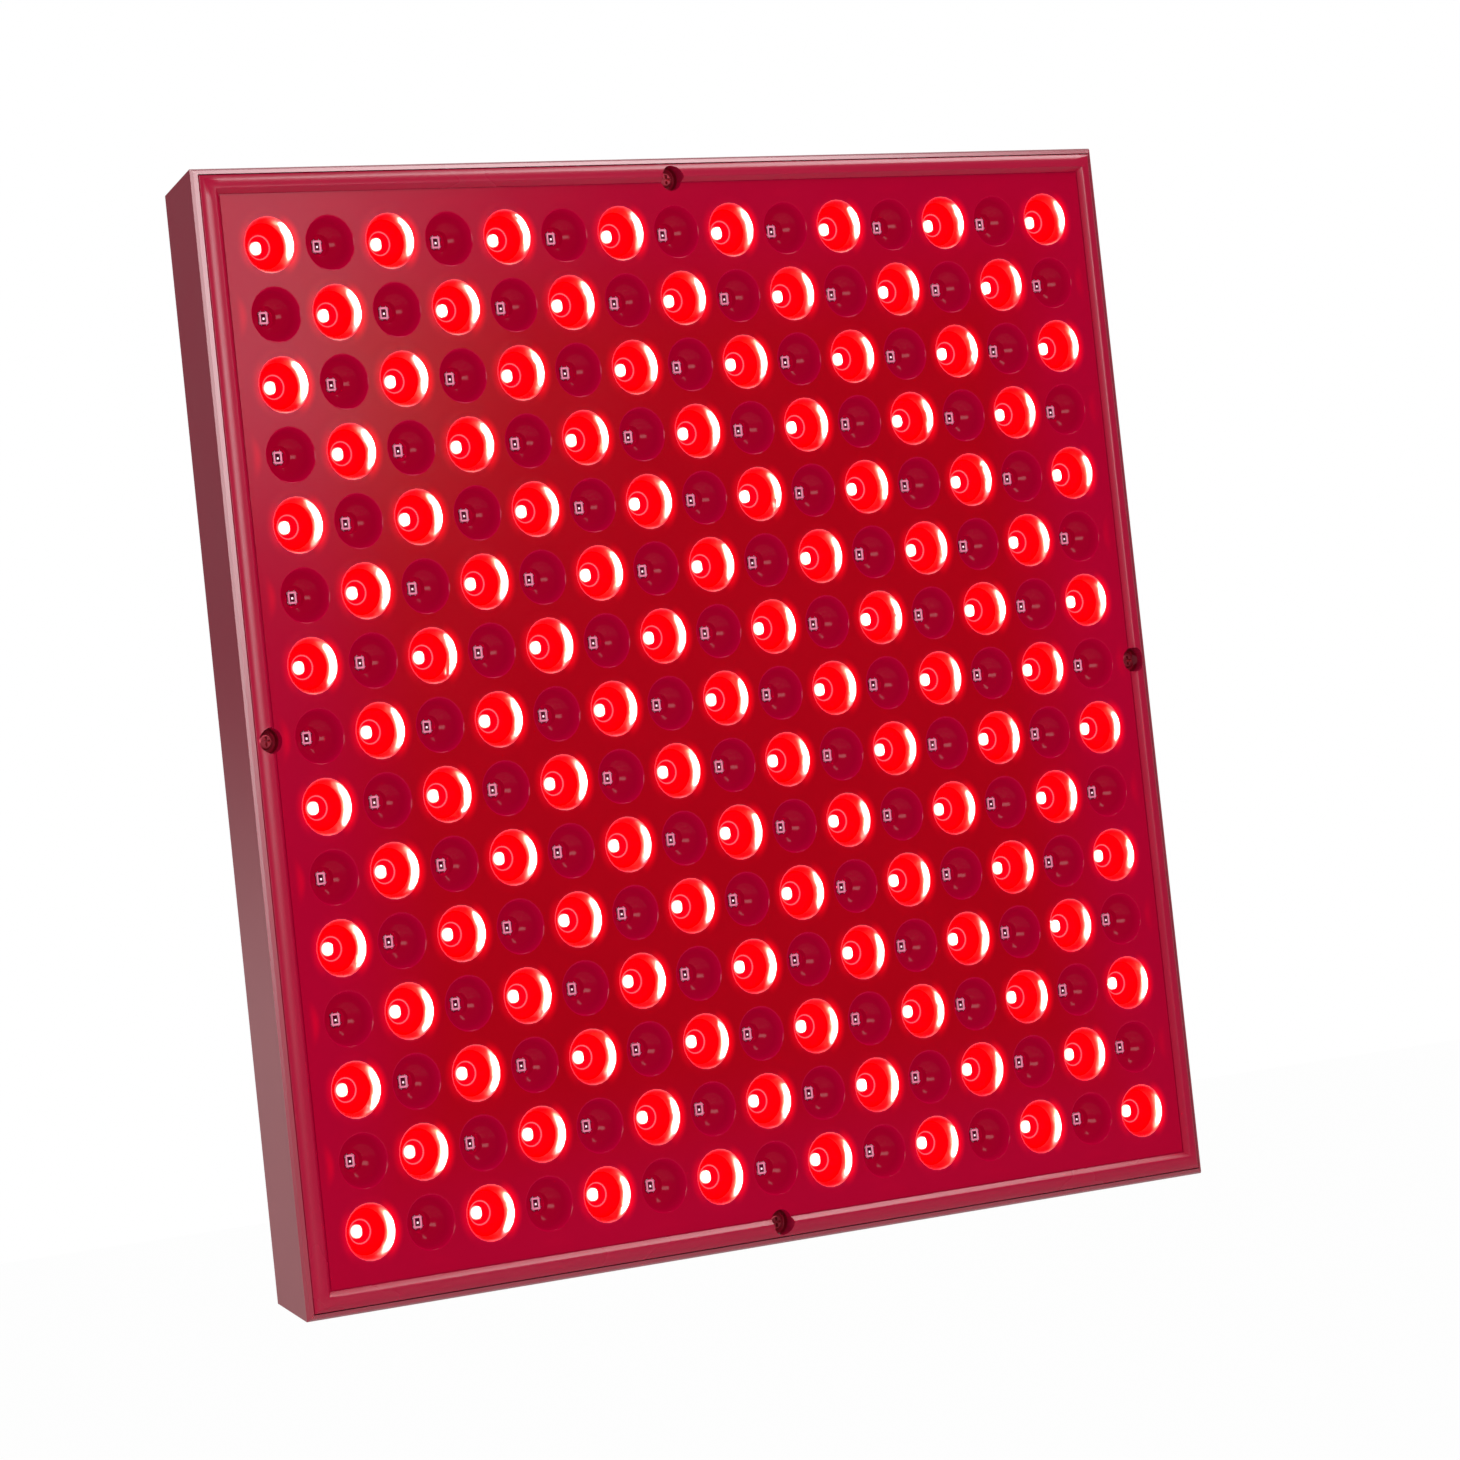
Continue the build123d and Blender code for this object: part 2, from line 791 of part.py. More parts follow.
# Rocker switch: frame, rocker and blades. The rocker is modelled pressed to its on side
bezel_face = pocket_floor - bezel_wall
switch_end = pocket_floor + switch_body_length
rocker_half_thickness = rocker_thickness / 2
switch_plane = Plane((switch_x, -socket_depth, 0))
pivot_z = bezel_face + rocker_pivot_sink
rocker_tilt = radians(rocker_tilt_deg)
pivot_plane = Plane(
    (switch_x, -socket_depth, pivot_z),
    x_dir=(cos(rocker_tilt), 0, sin(rocker_tilt)),
    z_dir=(0, -1, 0),
)
with BuildPart() as switch_frame:
    with BuildSketch(switch_plane.offset(bezel_face)):
        RectangleRounded(bezel_width, bezel_height, bezel_corner)
    extrude(amount=bezel_wall)
    with BuildSketch(switch_plane.offset(pocket_floor)):
        Rectangle(switch_body_width, switch_body_height)
    extrude(amount=switch_body_length)
    with BuildSketch(switch_plane.offset(bezel_face - overrun)):
        Rectangle(
            2 * (rocker_half_length + rocker_clearance), rocker_thickness + 2 * rocker_side_gap
        )
    extrude(amount=rocker_well + overrun, mode=Mode.SUBTRACT)
    pivot_hole_half = rocker_half_thickness + pivot_reach + pivot_fit
    with BuildSketch(layer(socket_depth - pivot_hole_half)):
        with Locations((switch_x, pivot_z)):
            Circle(pivot_radius + pivot_fit)
    extrude(amount=2 * pivot_hole_half, mode=Mode.SUBTRACT)
switch_frame.part.label = "switch_frame"
export_step(switch_frame.part, "parts/switch_frame.step")

with BuildPart() as switch_rocker:
    with BuildSketch(pivot_plane.offset(-rocker_half_thickness)):
        lift = rocker_half_length * sin(rocker_tilt)
        Polygon(
            (-rocker_half_length, -rocker_edge - lift),
            (0, -rocker_edge),
            (rocker_half_length, -rocker_edge - lift),
            (rocker_half_length - rocker_edge, rocker_bottom),
            (-rocker_half_length + rocker_edge, rocker_bottom),
            align=None,
        )
    extrude(amount=rocker_thickness)
    with BuildSketch(pivot_plane.offset(-rocker_half_thickness - pivot_reach)):
        Circle(pivot_radius)
    extrude(amount=rocker_thickness + 2 * pivot_reach)
switch_rocker.part.label = "switch_rocker"
export_step(switch_rocker.part, "parts/switch_rocker.step")

with BuildPart() as switch_blades:
    with BuildSketch(switch_plane.offset(switch_end)):
        with GridLocations(switch_blade_spacing, switch_blade_spacing, 2, 1):
            Rectangle(blade_width, blade_wall)
    extrude(amount=switch_blade_length)
switch_blades.part.label = "switch_blades"
export_step(switch_blades.part, "parts/switch_blades.step")

# Driver board on four posts in the raised middle of the back
with BuildPart() as driver_board:
    with BuildSketch(layer(driver_back)):
        Rectangle(driver_width, driver_height)
        with Locations(*driver_screw_places):
            Circle(small_screw_radius + screw_fit, mode=Mode.SUBTRACT)
    extrude(amount=driver_wall)
driver_board.part.label = "driver_board"
export_step(driver_board.part, "parts/driver_board.step")


def write_block(name, size, x, z, foot=driver_front):
    """A plain block that stands on the driver board: size is width, rise and height."""
    width, rise, height = size
    with BuildPart() as block:
        with Locations((x, -foot - rise / 2, z)):
            Box(width, rise, height)
        top = block.faces().sort_by(Axis.Y)[0]
        chamfer(top.edges(), component_gap)
    block.part.label = name
    export_step(block.part, f"parts/{name}.step")


write_block("bridge_rectifier", rectifier_size, rectifier_x, rectifier_z)
write_block("film_capacitor", film_size, film_x, film_z)

# Transformer: a wound bobbin on the middle leg of a flat ferrite core
core_depth = driver_front + coil_thickness / 2
core_window = (core_width - 3 * core_web) / 2
window_height = core_height - core_web
with BuildPart() as transformer_core:
    with Locations((transformer_x, -core_depth, transformer_z)):
        Box(core_width, core_thickness, core_height)
        for side in (-1, 1):
            with Locations((side * (core_web + core_window) / 2, 0, 0)):
                Box(core_window, core_thickness + overrun, window_height, mode=Mode.SUBTRACT)
transformer_core.part.label = "transformer_core"
export_step(transformer_core.part, "parts/transformer_core.step")

with BuildPart() as transformer_coil:
    with Locations((transformer_x, -core_depth, transformer_z)):
        Box(
            core_web + 2 * core_window - component_gap,
            coil_thickness,
            window_height - component_gap,
        )
        Box(
            core_web + component_gap,
            core_thickness + component_gap,
            core_height,
            mode=Mode.SUBTRACT,
        )
transformer_coil.part.label = "transformer_coil"
export_step(transformer_coil.part, "parts/transformer_coil.step")


def capacitor(radius, length, x, z):
    """A round capacitor lying along Z on the driver board, with a groove near one end."""
    axis_depth = driver_front + radius
    plane = Plane.XY.offset(z - length / 2)
    with BuildSketch(plane) as can:
        with Locations((x, -axis_depth)):
            Circle(radius)
    extrude(can.sketch, amount=length)
    with BuildSketch(plane.offset(capacitor_end)) as groove:
        with Locations((x, -axis_depth)):
            Circle(radius)
            Circle(radius - capacitor_groove, mode=Mode.SUBTRACT)
    extrude(groove.sketch, amount=capacitor_end, mode=Mode.SUBTRACT)


with BuildPart() as driver_capacitors:
    for turn in (-1, 1):
        capacitor(
            bulk_capacitor_radius,
            bulk_capacitor_length,
            bulk_capacitor_x + turn * bulk_capacitor_pitch / 2,
            bulk_capacitor_z,
        )
        capacitor(
            output_capacitor_radius,
            output_capacitor_length,
            output_capacitor_x + turn * output_capacitor_pitch / 2,
            output_capacitor_z,
        )
driver_capacitors.part.label = "driver_capacitors"
export_step(driver_capacitors.part, "parts/driver_capacitors.step")

# Choke: a ring core that lies flat on the driver board
with BuildPart() as driver_choke:
    with BuildSketch(layer(driver_front)):
        with Locations((choke_x, choke_z)):
            Circle(choke_radius)
            Circle(choke_bore, mode=Mode.SUBTRACT)
    extrude(amount=choke_thickness)
    fillet(driver_choke.faces().sort_by(Axis.Y)[0].edges(), choke_round)
driver_choke.part.label = "driver_choke"
export_step(driver_choke.part, "parts/driver_choke.step")

# Fuse: a glass tube between two caps, lying along Z
with BuildPart() as driver_fuse:
    fuse_start = Plane.XY.offset(fuse_z - fuse_length / 2)
    fuse_place = (fuse_x, -driver_front - fuse_radius)
    with BuildSketch(fuse_start):
        with Locations(fuse_place):
            Circle(fuse_radius - fuse_cap_wall)
    extrude(amount=fuse_length)
    for start in (0, fuse_length - fuse_cap_length):
        with BuildSketch(fuse_start.offset(start)):
            with Locations(fuse_place):
                Circle(fuse_radius)
        extrude(amount=fuse_cap_length)
driver_fuse.part.label = "driver_fuse"
export_step(driver_fuse.part, "parts/driver_fuse.step")

# Heat sink: a plate with a fin along its top, and the switching transistor against it
with BuildPart() as driver_heatsink:
    with Locations((heatsink_x, -driver_front - heatsink_height / 2, heatsink_z)):
        Box(heatsink_length, heatsink_height, heatsink_wall)
    fin_z = heatsink_z - heatsink_fin / 2
    with Locations((heatsink_x, -driver_front - heatsink_height + heatsink_wall / 2, fin_z)):
        Box(heatsink_length, heatsink_wall, heatsink_fin)
driver_heatsink.part.label = "driver_heatsink"
export_step(driver_heatsink.part, "parts/driver_heatsink.step")

with BuildPart() as switching_transistor:
    width, wall, rise = transistor_size
    with Locations(
        (
            heatsink_x,
            -driver_front - rise / 2,
            heatsink_z + heatsink_wall / 2 + wall / 2,
        )
    ):
        Box(width, rise, wall)
switching_transistor.part.label = "switching_transistor"
export_step(switching_transistor.part, "parts/switching_transistor.step")

# Terminal blocks at the lower and upper edges of the driver board
input_terminal_z = -driver_height / 2 + terminal_height / 2
output_terminal_z = driver_height / 2 - terminal_height / 2
with BuildPart() as driver_terminals:
    for x, z, out in (
        (input_terminal_x, input_terminal_z, -1),
        (output_terminal_x, output_terminal_z, 1),
    ):
        with Locations((x, -terminal_depth, z)):
            Box(terminal_width, terminal_thickness, terminal_height)
        mouth = z + out * terminal_height / 2
        with BuildSketch(Plane.XY.offset(mouth - out * terminal_bore_depth)):
            with Locations((x, -terminal_depth)):
                with GridLocations(terminal_wire_spacing, terminal_wire_spacing, 2, 1):
                    Circle(terminal_bore)
        extrude(amount=out * (terminal_bore_depth + overrun), mode=Mode.SUBTRACT)
driver_terminals.part.label = "driver_terminals"
export_step(driver_terminals.part, "parts/driver_terminals.step")

# Pins that carry the current through the board, each with a flange on the lit side
with BuildPart() as board_pins:
    discs(feed_places, feed_pin_radius, board_back - feed_pin_back, board_front + feed_pin_front)
    discs(feed_places, feed_flange_radius, board_front, board_front + feed_flange_wall)
board_pins.part.label = "board_pins"
export_step(board_pins.part, "parts/board_pins.step")


def lead(points, bends):
    """A round insulated lead along straight runs joined by arcs."""
    with BuildLine() as route:
        FilletPolyline(*points, radius=bends)
    with BuildSketch(route.line ^ 0) as section:
        Circle(lead_radius)
    sweep(section.sketch, path=route.line)


def write_lead(name, routes):
    """One node of leads, each given by its points and its bend radii."""
    with BuildPart() as leads:
        for points, bends in routes:
            lead(points, bends)
    leads.part.label = name
    export_step(leads.part, f"parts/{name}.step")


# Leads from the inlet to the switch, from both to the driver, and on to the board
lead_y = -terminal_depth
inlet_tab_z = inlet_end + blade_length
switch_tab_z = switch_end + switch_blade_length
input_seat_z = -driver_height / 2 + terminal_seat
output_seat_z = driver_height / 2 - terminal_seat
inlet_live_x = inlet_x + pin_spacing / 2
inlet_neutral_x = inlet_x - pin_spacing / 2
switch_in_x = switch_x - switch_blade_spacing / 2
switch_out_x = switch_x + switch_blade_spacing / 2
input_live_x = input_terminal_x + terminal_wire_spacing / 2
input_neutral_x = input_terminal_x - terminal_wire_spacing / 2
live_arch_z = inlet_tab_z + live_arch_rise
switched_turn_z = switch_tab_z + switched_turn_rise
neutral_low_z = inlet_tab_z + neutral_bend_rise
neutral_high_z = neutral_low_z + neutral_slant_rise
live_route = [
    (inlet_live_x, lead_y, inlet_tab_z),
    (inlet_live_x, lead_y, live_arch_z),
    (switch_in_x, lead_y, live_arch_z),
    (switch_in_x, lead_y, switch_tab_z),
]
switched_route = [
    (switch_out_x, lead_y, switch_tab_z),
    (switch_out_x, lead_y, switched_turn_z),
    (input_live_x, lead_y, switched_turn_z),
    (input_live_x, lead_y, input_seat_z),
]
neutral_route = [
    (inlet_neutral_x, lead_y, inlet_tab_z),
    (inlet_neutral_x, lead_y, neutral_low_z),
    (input_neutral_x, lead_y, neutral_high_z),
    (input_neutral_x, lead_y, input_seat_z),
]
write_lead("live_lead", [(live_route, lead_bend)])
write_lead("switched_lead", [(switched_route, lead_bend)])
write_lead("neutral_lead", [(neutral_route, lead_bend)])

feed_z = feed_row * pitch
feed_x = feed_column * pitch
feed_back = board_back - feed_pin_back
output_left_x = output_terminal_x - terminal_wire_spacing / 2
output_right_x = output_terminal_x + terminal_wire_spacing / 2
output_turn_z = driver_height / 2 + output_turn_rise
left_route = [
    (output_left_x, lead_y, output_seat_z),
    (output_left_x, lead_y, output_turn_z),
    (-feed_x, lead_y, output_turn_z),
    (-feed_x, lead_y, feed_z),
    (-feed_x, -feed_back, feed_z),
]
right_route = [
    (output_right_x, lead_y, output_seat_z),
    (output_right_x, lead_y, feed_z),
    (feed_x, lead_y, feed_z),
    (feed_x, -feed_back, feed_z),
]
write_lead(
    "board_leads",
    [
        (left_route, (lead_bend, lead_bend, feed_bend)),
        (right_route, (lead_bend, feed_bend)),
    ],
)
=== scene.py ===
import bpy
import math
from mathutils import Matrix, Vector


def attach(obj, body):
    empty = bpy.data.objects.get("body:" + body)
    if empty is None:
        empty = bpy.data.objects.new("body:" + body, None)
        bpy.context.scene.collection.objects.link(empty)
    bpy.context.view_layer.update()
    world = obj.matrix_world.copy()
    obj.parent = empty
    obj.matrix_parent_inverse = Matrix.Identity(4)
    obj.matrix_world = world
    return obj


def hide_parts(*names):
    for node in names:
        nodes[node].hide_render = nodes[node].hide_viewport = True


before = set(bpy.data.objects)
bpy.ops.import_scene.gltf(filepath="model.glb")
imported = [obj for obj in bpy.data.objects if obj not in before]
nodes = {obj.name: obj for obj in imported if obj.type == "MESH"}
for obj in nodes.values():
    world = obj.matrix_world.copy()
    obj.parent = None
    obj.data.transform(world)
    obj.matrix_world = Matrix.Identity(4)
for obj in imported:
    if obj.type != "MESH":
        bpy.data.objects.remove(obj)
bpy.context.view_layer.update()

# Lengths are in millimetres. A depth runs from the wall towards the lit face, as in the part.
# HAIR is how near a point must lie to be picked, and MARGIN keeps a change of colour off a bend.
MM = 0.001
HAIR = 0.01
MARGIN = 0.05
MERGE_GAP = 0.002
SMOOTH_DEG = 38

# Plate and reflector cups. A bowl runs from its rim in the plate down to a hole at FLOOR, with a sleeve
# from there to FOOT, and its back meets the plate's back at NECK_RADIUS. A lit bowl's wall is polished
# above POLISH_FROM.
ROWS = 15
PITCH = 19.1
FIELD = PITCH * ROWS / 2
PLATE = 28.5
PLATE_BACK = 26.5
RIM = 7.5
RIM_SLOPE_DEG = 85
RIM_EASE = [(RIM + 0.3, PLATE), (RIM + 0.1, PLATE - 0.07)]
HOLE = 3.1
FLOOR = 22.7
FOOT = 20.9
FOOT_RADIUS = 4.5
NECK_RADIUS = 8.23
CUP_SIDES = 24
BOWL_SHARES = (0.02, 0.10, 0.20, 0.32, 0.45, 0.60, 0.80, 1.0)
POLISH_FROM = 25.2

# Border of the cover, each point as half width and depth
GROOVE_IN = 147.5
GROOVE_OUT = 147.9
GROOVE_FLOOR = 28.15
INNER_BEVEL = [(149.05, 29.78), (149.3, 29.96)]
CREST = [(149.6, 29.98), (151.5, 29.42)]
OUTER_BEVEL = [(151.8, 29.28), (152.95, 28.52)]
SEAM_EDGE = [(153.12, 28.3), (153.15, 26.3)]
BORDER_BACK = [(147.0, 26.3), (146.6, PLATE_BACK)]

# Screw wells in the border
WELL_AT = 149
WELL_PLACES = ((0, WELL_AT), (0, -WELL_AT), (WELL_AT, 0), (-WELL_AT, 0))
WELL_RADIUS = 3.6
WELL_OUTER = 4.8
WELL_TOP = 26.3
WELL_FLOOR = 24.4
WELL_EASE = 0.2
WELL_UNDER = 22.8
WELL_SIDES = 40
SHANK_HOLE = 1.3
WELL_CUT_LENGTH = 8
WELL_CUT_MIDDLE = 28

# Diodes and their board
BOARD_FACE = 20.7
LED_FACE = 21.5
DIODE_WIDTH = 2.8
DIODE_LENGTH = 3.5
DIODE_BLOCK = 0.76
FRAME_MARGIN = 0.24
FRAME_RISE = 0.04
FRAME_WIDTH = 0.30
WINDOW_SLOPE = 0.12
WINDOW_SINK = 0.22
CHIP_HEIGHT = 0.1
CHIP_SINK = 0.02
CHIP_SHIFT = -0.15
RED_CORNER = 1.2
RED_CHIP = 0.9
DARK_CORNER = 0.3
DARK_CHIP = 0.55


# Hand tools

def deselect():
    if bpy.context.object and bpy.context.object.mode != "OBJECT":
        bpy.ops.object.mode_set(mode="OBJECT")
    bpy.ops.object.select_all(action="DESELECT")


def take(obj):
    deselect()
    bpy.context.view_layer.objects.active = obj
    obj.select_set(True)


def named(name):
    obj = bpy.context.object
    obj.name = name
    obj.data.name = name
    return obj


def ring(name, radius, sides, depth):
    deselect()
    bpy.ops.mesh.primitive_circle_add(
        vertices=sides, radius=radius * MM, fill_type="NOTHING", location=(0, 0, depth * MM))
    bpy.ops.object.transform_apply(location=True)
    return named(name)


def block(name, size, centre):
    deselect()
    bpy.ops.mesh.primitive_cube_add(size=1, location=(0, 0, 0))
    obj = named(name)
    obj.scale = [length * MM for length in size]
    obj.location = [place * MM for place in centre]
    bpy.ops.object.transform_apply(location=True, scale=True)
    return obj


def pull_rings(obj, steps):
    """Extrudes the open loop of obj through steps of half width and depth, the first being where it is."""
    take(obj)
    bpy.ops.object.mode_set(mode="EDIT")
    bpy.ops.mesh.select_mode(type="VERT")
    bpy.ops.mesh.select_all(action="SELECT")
    for (width, depth), (next_width, next_depth) in zip(steps, steps[1:]):
        rise = (next_depth - depth) * MM
        bpy.ops.mesh.extrude_region_move(TRANSFORM_OT_translate={"value": (0, 0, rise)})
        share = next_width / width
        bpy.ops.transform.resize(value=(share, share, 1), center_override=(0, 0, next_depth * MM))
    bpy.ops.object.mode_set(mode="OBJECT")
    return obj


def pick(obj, kind, wanted):
    """Selects the edges of obj whose ends answer wanted, or its faces whose middle and normal do."""
    take(obj)
    bpy.ops.object.mode_set(mode="EDIT")
    bpy.ops.mesh.select_mode(type=kind)
    bpy.ops.mesh.select_all(action="DESELECT")
    bpy.ops.object.mode_set(mode="OBJECT")
    mesh = obj.data
    if kind == "EDGE":
        for e in mesh.edges:
            a, b = (mesh.vertices[i].co / MM for i in e.vertices)
            e.select = bool(wanted(a, b))
    else:
        for f in mesh.polygons:
            f.select = bool(wanted(f.center / MM, f.normal))
    bpy.ops.object.mode_set(mode="EDIT")


def join(name, *parts):
    deselect()
    for p in parts:
        p.select_set(True)
    bpy.context.view_layer.objects.active = parts[0]
    bpy.ops.object.join()
    return named(name)


def close_up(obj):
    """Merges doubled points and turns every face outwards."""
    take(obj)
    bpy.ops.object.mode_set(mode="EDIT")
    bpy.ops.mesh.select_all(action="SELECT")
    bpy.ops.mesh.remove_doubles(threshold=MERGE_GAP * MM)
    bpy.ops.mesh.normals_make_consistent(inside=False)
    bpy.ops.object.mode_set(mode="OBJECT")
    return obj


def smooth(obj):
    """Smooths the curved faces. The edges of the flat plate and the rims of the bowls stay sharp."""
    rim = bowl_steps()[0][1]

    def kept(a, b):
        low, high = min(-a.y, -b.y), max(-a.y, -b.y)
        on_plate = low > PLATE - HAIR and high < PLATE + HAIR
        on_rim = low > rim - HAIR and high < rim + HAIR and abs(a.x) < FIELD and abs(a.z) < FIELD
        return on_plate or on_rim

    pick(obj, "EDGE", kept)
    bpy.ops.mesh.mark_sharp()
    bpy.ops.object.mode_set(mode="OBJECT")
    bpy.ops.object.shade_smooth_by_angle(angle=math.radians(SMOOTH_DEG))
    return obj


def repeat(obj, columns, lines, step):
    """Copies obj into a grid of columns and lines, step millimetres apart, in its own mesh."""
    take(obj)
    for count, way in ((columns, (1, 0, 0)), (lines, (0, 1, 0))):
        m = obj.modifiers.new("row", "ARRAY")
        m.count = count
        m.use_relative_offset = False
        m.use_constant_offset = True
        m.constant_offset_displace = [step * MM * w for w in way]
        bpy.ops.object.modifier_apply(modifier=m.name)
    return obj


def shift(obj, x, y):
    take(obj)
    obj.location = (x * MM, y * MM, 0)
    bpy.ops.object.transform_apply(location=True)
    return obj


def stand_up(obj):
    """Turns a piece made lying face up, so that its face looks along minus Y."""
    take(obj)
    obj.rotation_euler = (math.pi / 2, 0, 0)
    bpy.ops.object.transform_apply(rotation=True)
    return obj


def cut_away(obj, tool):
    take(obj)
    m = obj.modifiers.new("cut", "BOOLEAN")
    m.operation = "DIFFERENCE"
    m.solver = "EXACT"
    m.object = tool
    bpy.ops.object.modifier_apply(modifier=m.name)
    bpy.data.objects.remove(tool)
    return obj


# Front cover

def bowl_steps():
    """Radius and depth down the bowl: an arc that leaves the rim at its slope and ends at the hole."""
    slope = math.radians(RIM_SLOPE_DEG)
    run, fall = RIM - HOLE, PLATE - FLOOR
    arc = (run * run + fall * fall) / (2 * (run * math.sin(slope) - fall * math.cos(slope)))
    centre_r = RIM - arc * math.sin(slope)
    centre_d = PLATE + arc * math.cos(slope)
    first = math.atan2(PLATE - centre_d, RIM - centre_r)
    last = math.atan2(FLOOR - centre_d, HOLE - centre_r)
    angles = [first + (last - first) * share for share in BOWL_SHARES]
    return [(centre_r + arc * math.cos(a), centre_d + arc * math.sin(a)) for a in angles]


def square_off(obj, half):
    """Moves the outermost ring of each level out onto a square, so that tiles meet edge to edge."""
    outermost_share = 0.99
    for v in obj.data.vertices:
        reach = math.hypot(v.co.x, v.co.y)
        if reach > half * MM * outermost_share:
            share = half * MM / max(abs(v.co.x), abs(v.co.y))
            v.co.x *= share
            v.co.y *= share


def make_cup_tile():
    """One cup with its square of plate: the face, the bowl, and below it the sleeve and the back."""
    half = PITCH / 2
    steps = [(half, PLATE)] + RIM_EASE + bowl_steps()
    steps += [(HOLE, FOOT), (FOOT_RADIUS, FOOT), (NECK_RADIUS, PLATE_BACK), (half, PLATE_BACK)]
    tile = pull_rings(ring("cup_tile", half, CUP_SIDES, PLATE), steps)
    square_off(tile, half)
    return tile


def make_border(field):
    """The raised border, pulled out of the cup field's edge: groove, bevels, crest, seam edge and back."""
    def outermost(p):
        return max(abs(p.x), abs(p.y)) > FIELD - HAIR and p.z > PLATE - HAIR

    pick(field, "EDGE", lambda a, b: outermost(a) and outermost(b))
    bpy.ops.mesh.duplicate()
    bpy.ops.mesh.separate(type="SELECTED")
    bpy.ops.object.mode_set(mode="OBJECT")
    border = [o for o in bpy.context.selected_objects if o != field][0]
    steps = [(FIELD, PLATE), (GROOVE_IN, PLATE), (GROOVE_IN, GROOVE_FLOOR)]
    steps += [(GROOVE_OUT, GROOVE_FLOOR), (GROOVE_OUT, PLATE)]
    steps += INNER_BEVEL + CREST + OUTER_BEVEL + SEAM_EDGE + BORDER_BACK
    steps += [(FIELD, PLATE_BACK), (FIELD, PLATE)]
    close_up(pull_rings(border, steps))
    for x, y in WELL_PLACES:
        deselect()
        bpy.ops.mesh.primitive_cylinder_add(
            vertices=WELL_SIDES, radius=WELL_RADIUS * MM, depth=WELL_CUT_LENGTH * MM,
            location=(x * MM, y * MM, WELL_CUT_MIDDLE * MM))
        cut_away(border, bpy.context.object)
    pick(border, "FACE", lambda c, n: max(abs(c.x), abs(c.y)) < FIELD + HAIR)
    bpy.ops.mesh.delete(type="FACE")
    bpy.ops.object.mode_set(mode="OBJECT")
    return border


def make_well():
    """The sleeve and floor of a screw well, with the hole for the shank under the screw's head."""
    steps = [(WELL_RADIUS, WELL_TOP), (WELL_RADIUS, WELL_FLOOR + WELL_EASE)]
    steps += [(WELL_RADIUS - WELL_EASE, WELL_FLOOR), (SHANK_HOLE, WELL_FLOOR)]
    steps += [(SHANK_HOLE, WELL_UNDER), (WELL_OUTER, WELL_UNDER)]
    steps += [(WELL_OUTER, WELL_TOP), (WELL_RADIUS, WELL_TOP)]
    return close_up(pull_rings(ring("screw_well", WELL_RADIUS, WELL_SIDES, WELL_TOP), steps))


def make_sleeves():
    well = make_well()
    wells = []
    for x, y in WELL_PLACES:
        take(well)
        bpy.ops.object.duplicate(linked=False)
        wells.append(shift(bpy.context.object, x, y))
    bpy.data.objects.remove(well)
    return join("screw_well_sleeves", *wells)


def make_cover():
    corner = (PITCH - 2 * FIELD) / 2
    field = close_up(shift(repeat(make_cup_tile(), ROWS, ROWS, PITCH), corner, corner))
    return close_up(join("front_cover_moulding", field, make_border(field)))


cover = make_cover()
sleeves = make_sleeves()
for piece in (cover, sleeves):
    smooth(stand_up(piece))
    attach(piece, "root")
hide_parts("front_cover")


# Diodes

def make_diode(name, chip_size, corner):
    """A diode: rounded block, raised frame round a sunk window, and in the window the square chip."""
    middle = LED_FACE - FRAME_RISE - DIODE_BLOCK / 2
    body = block(name, (DIODE_WIDTH, DIODE_LENGTH, DIODE_BLOCK), (0, 0, middle))
    pick(body, "EDGE", lambda a, b: abs(a.z - b.z) > DIODE_BLOCK / 2)
    bpy.ops.mesh.bevel(offset=corner * MM, segments=3)
    bpy.ops.object.mode_set(mode="OBJECT")
    pick(body, "FACE", lambda c, n: n.z > 0.9)
    bpy.ops.mesh.inset(thickness=FRAME_MARGIN * MM, depth=FRAME_RISE * MM)
    bpy.ops.mesh.inset(thickness=FRAME_WIDTH * MM, depth=0)
    bpy.ops.mesh.inset(thickness=WINDOW_SLOPE * MM, depth=-WINDOW_SINK * MM)
    bpy.ops.object.mode_set(mode="OBJECT")
    middle = LED_FACE - WINDOW_SINK - CHIP_SINK + CHIP_HEIGHT / 2
    chip = block("chip", (chip_size, chip_size, CHIP_HEIGHT), (0, CHIP_SHIFT, middle))
    return join(name, body, chip)


def spread(name, chip_size, corner, starts):
    """Copies one diode over its half of the checker pattern, as two grids at twice the pitch.
    Each grid starts so many cups to the right of and above the bottom left cup."""
    half = (ROWS - 1) / 2 * PITCH
    first = make_diode(name, chip_size, corner)
    take(first)
    bpy.ops.object.duplicate(linked=False)
    grids = []
    for diode, (right, up) in zip((first, bpy.context.object), starts):
        repeat(diode, (ROWS + 1 - right) // 2, (ROWS + 1 - up) // 2, 2 * PITCH)
        grids.append(shift(diode, right * PITCH - half, up * PITCH - half))
    return stand_up(join(name, *grids))


red_diodes = spread("red_diode_bodies", RED_CHIP, RED_CORNER, ((0, 0), (1, 1)))
dark_diodes = spread("infrared_diode_bodies", DARK_CHIP, DARK_CORNER, ((1, 0), (0, 1)))
for piece, node in ((red_diodes, "red_leds"), (dark_diodes, "infrared_leds")):
    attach(piece, "root")
    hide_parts(node)


# Finishes

def tone(red, green, blue):
    """A colour as it is seen, 0 to 255, in the light values that shaders take."""
    def light(seen):
        share = seen / 255
        return share / 12.92 if share <= 0.04045 else ((share + 0.055) / 1.055) ** 2.4

    return light(red), light(green), light(blue), 1


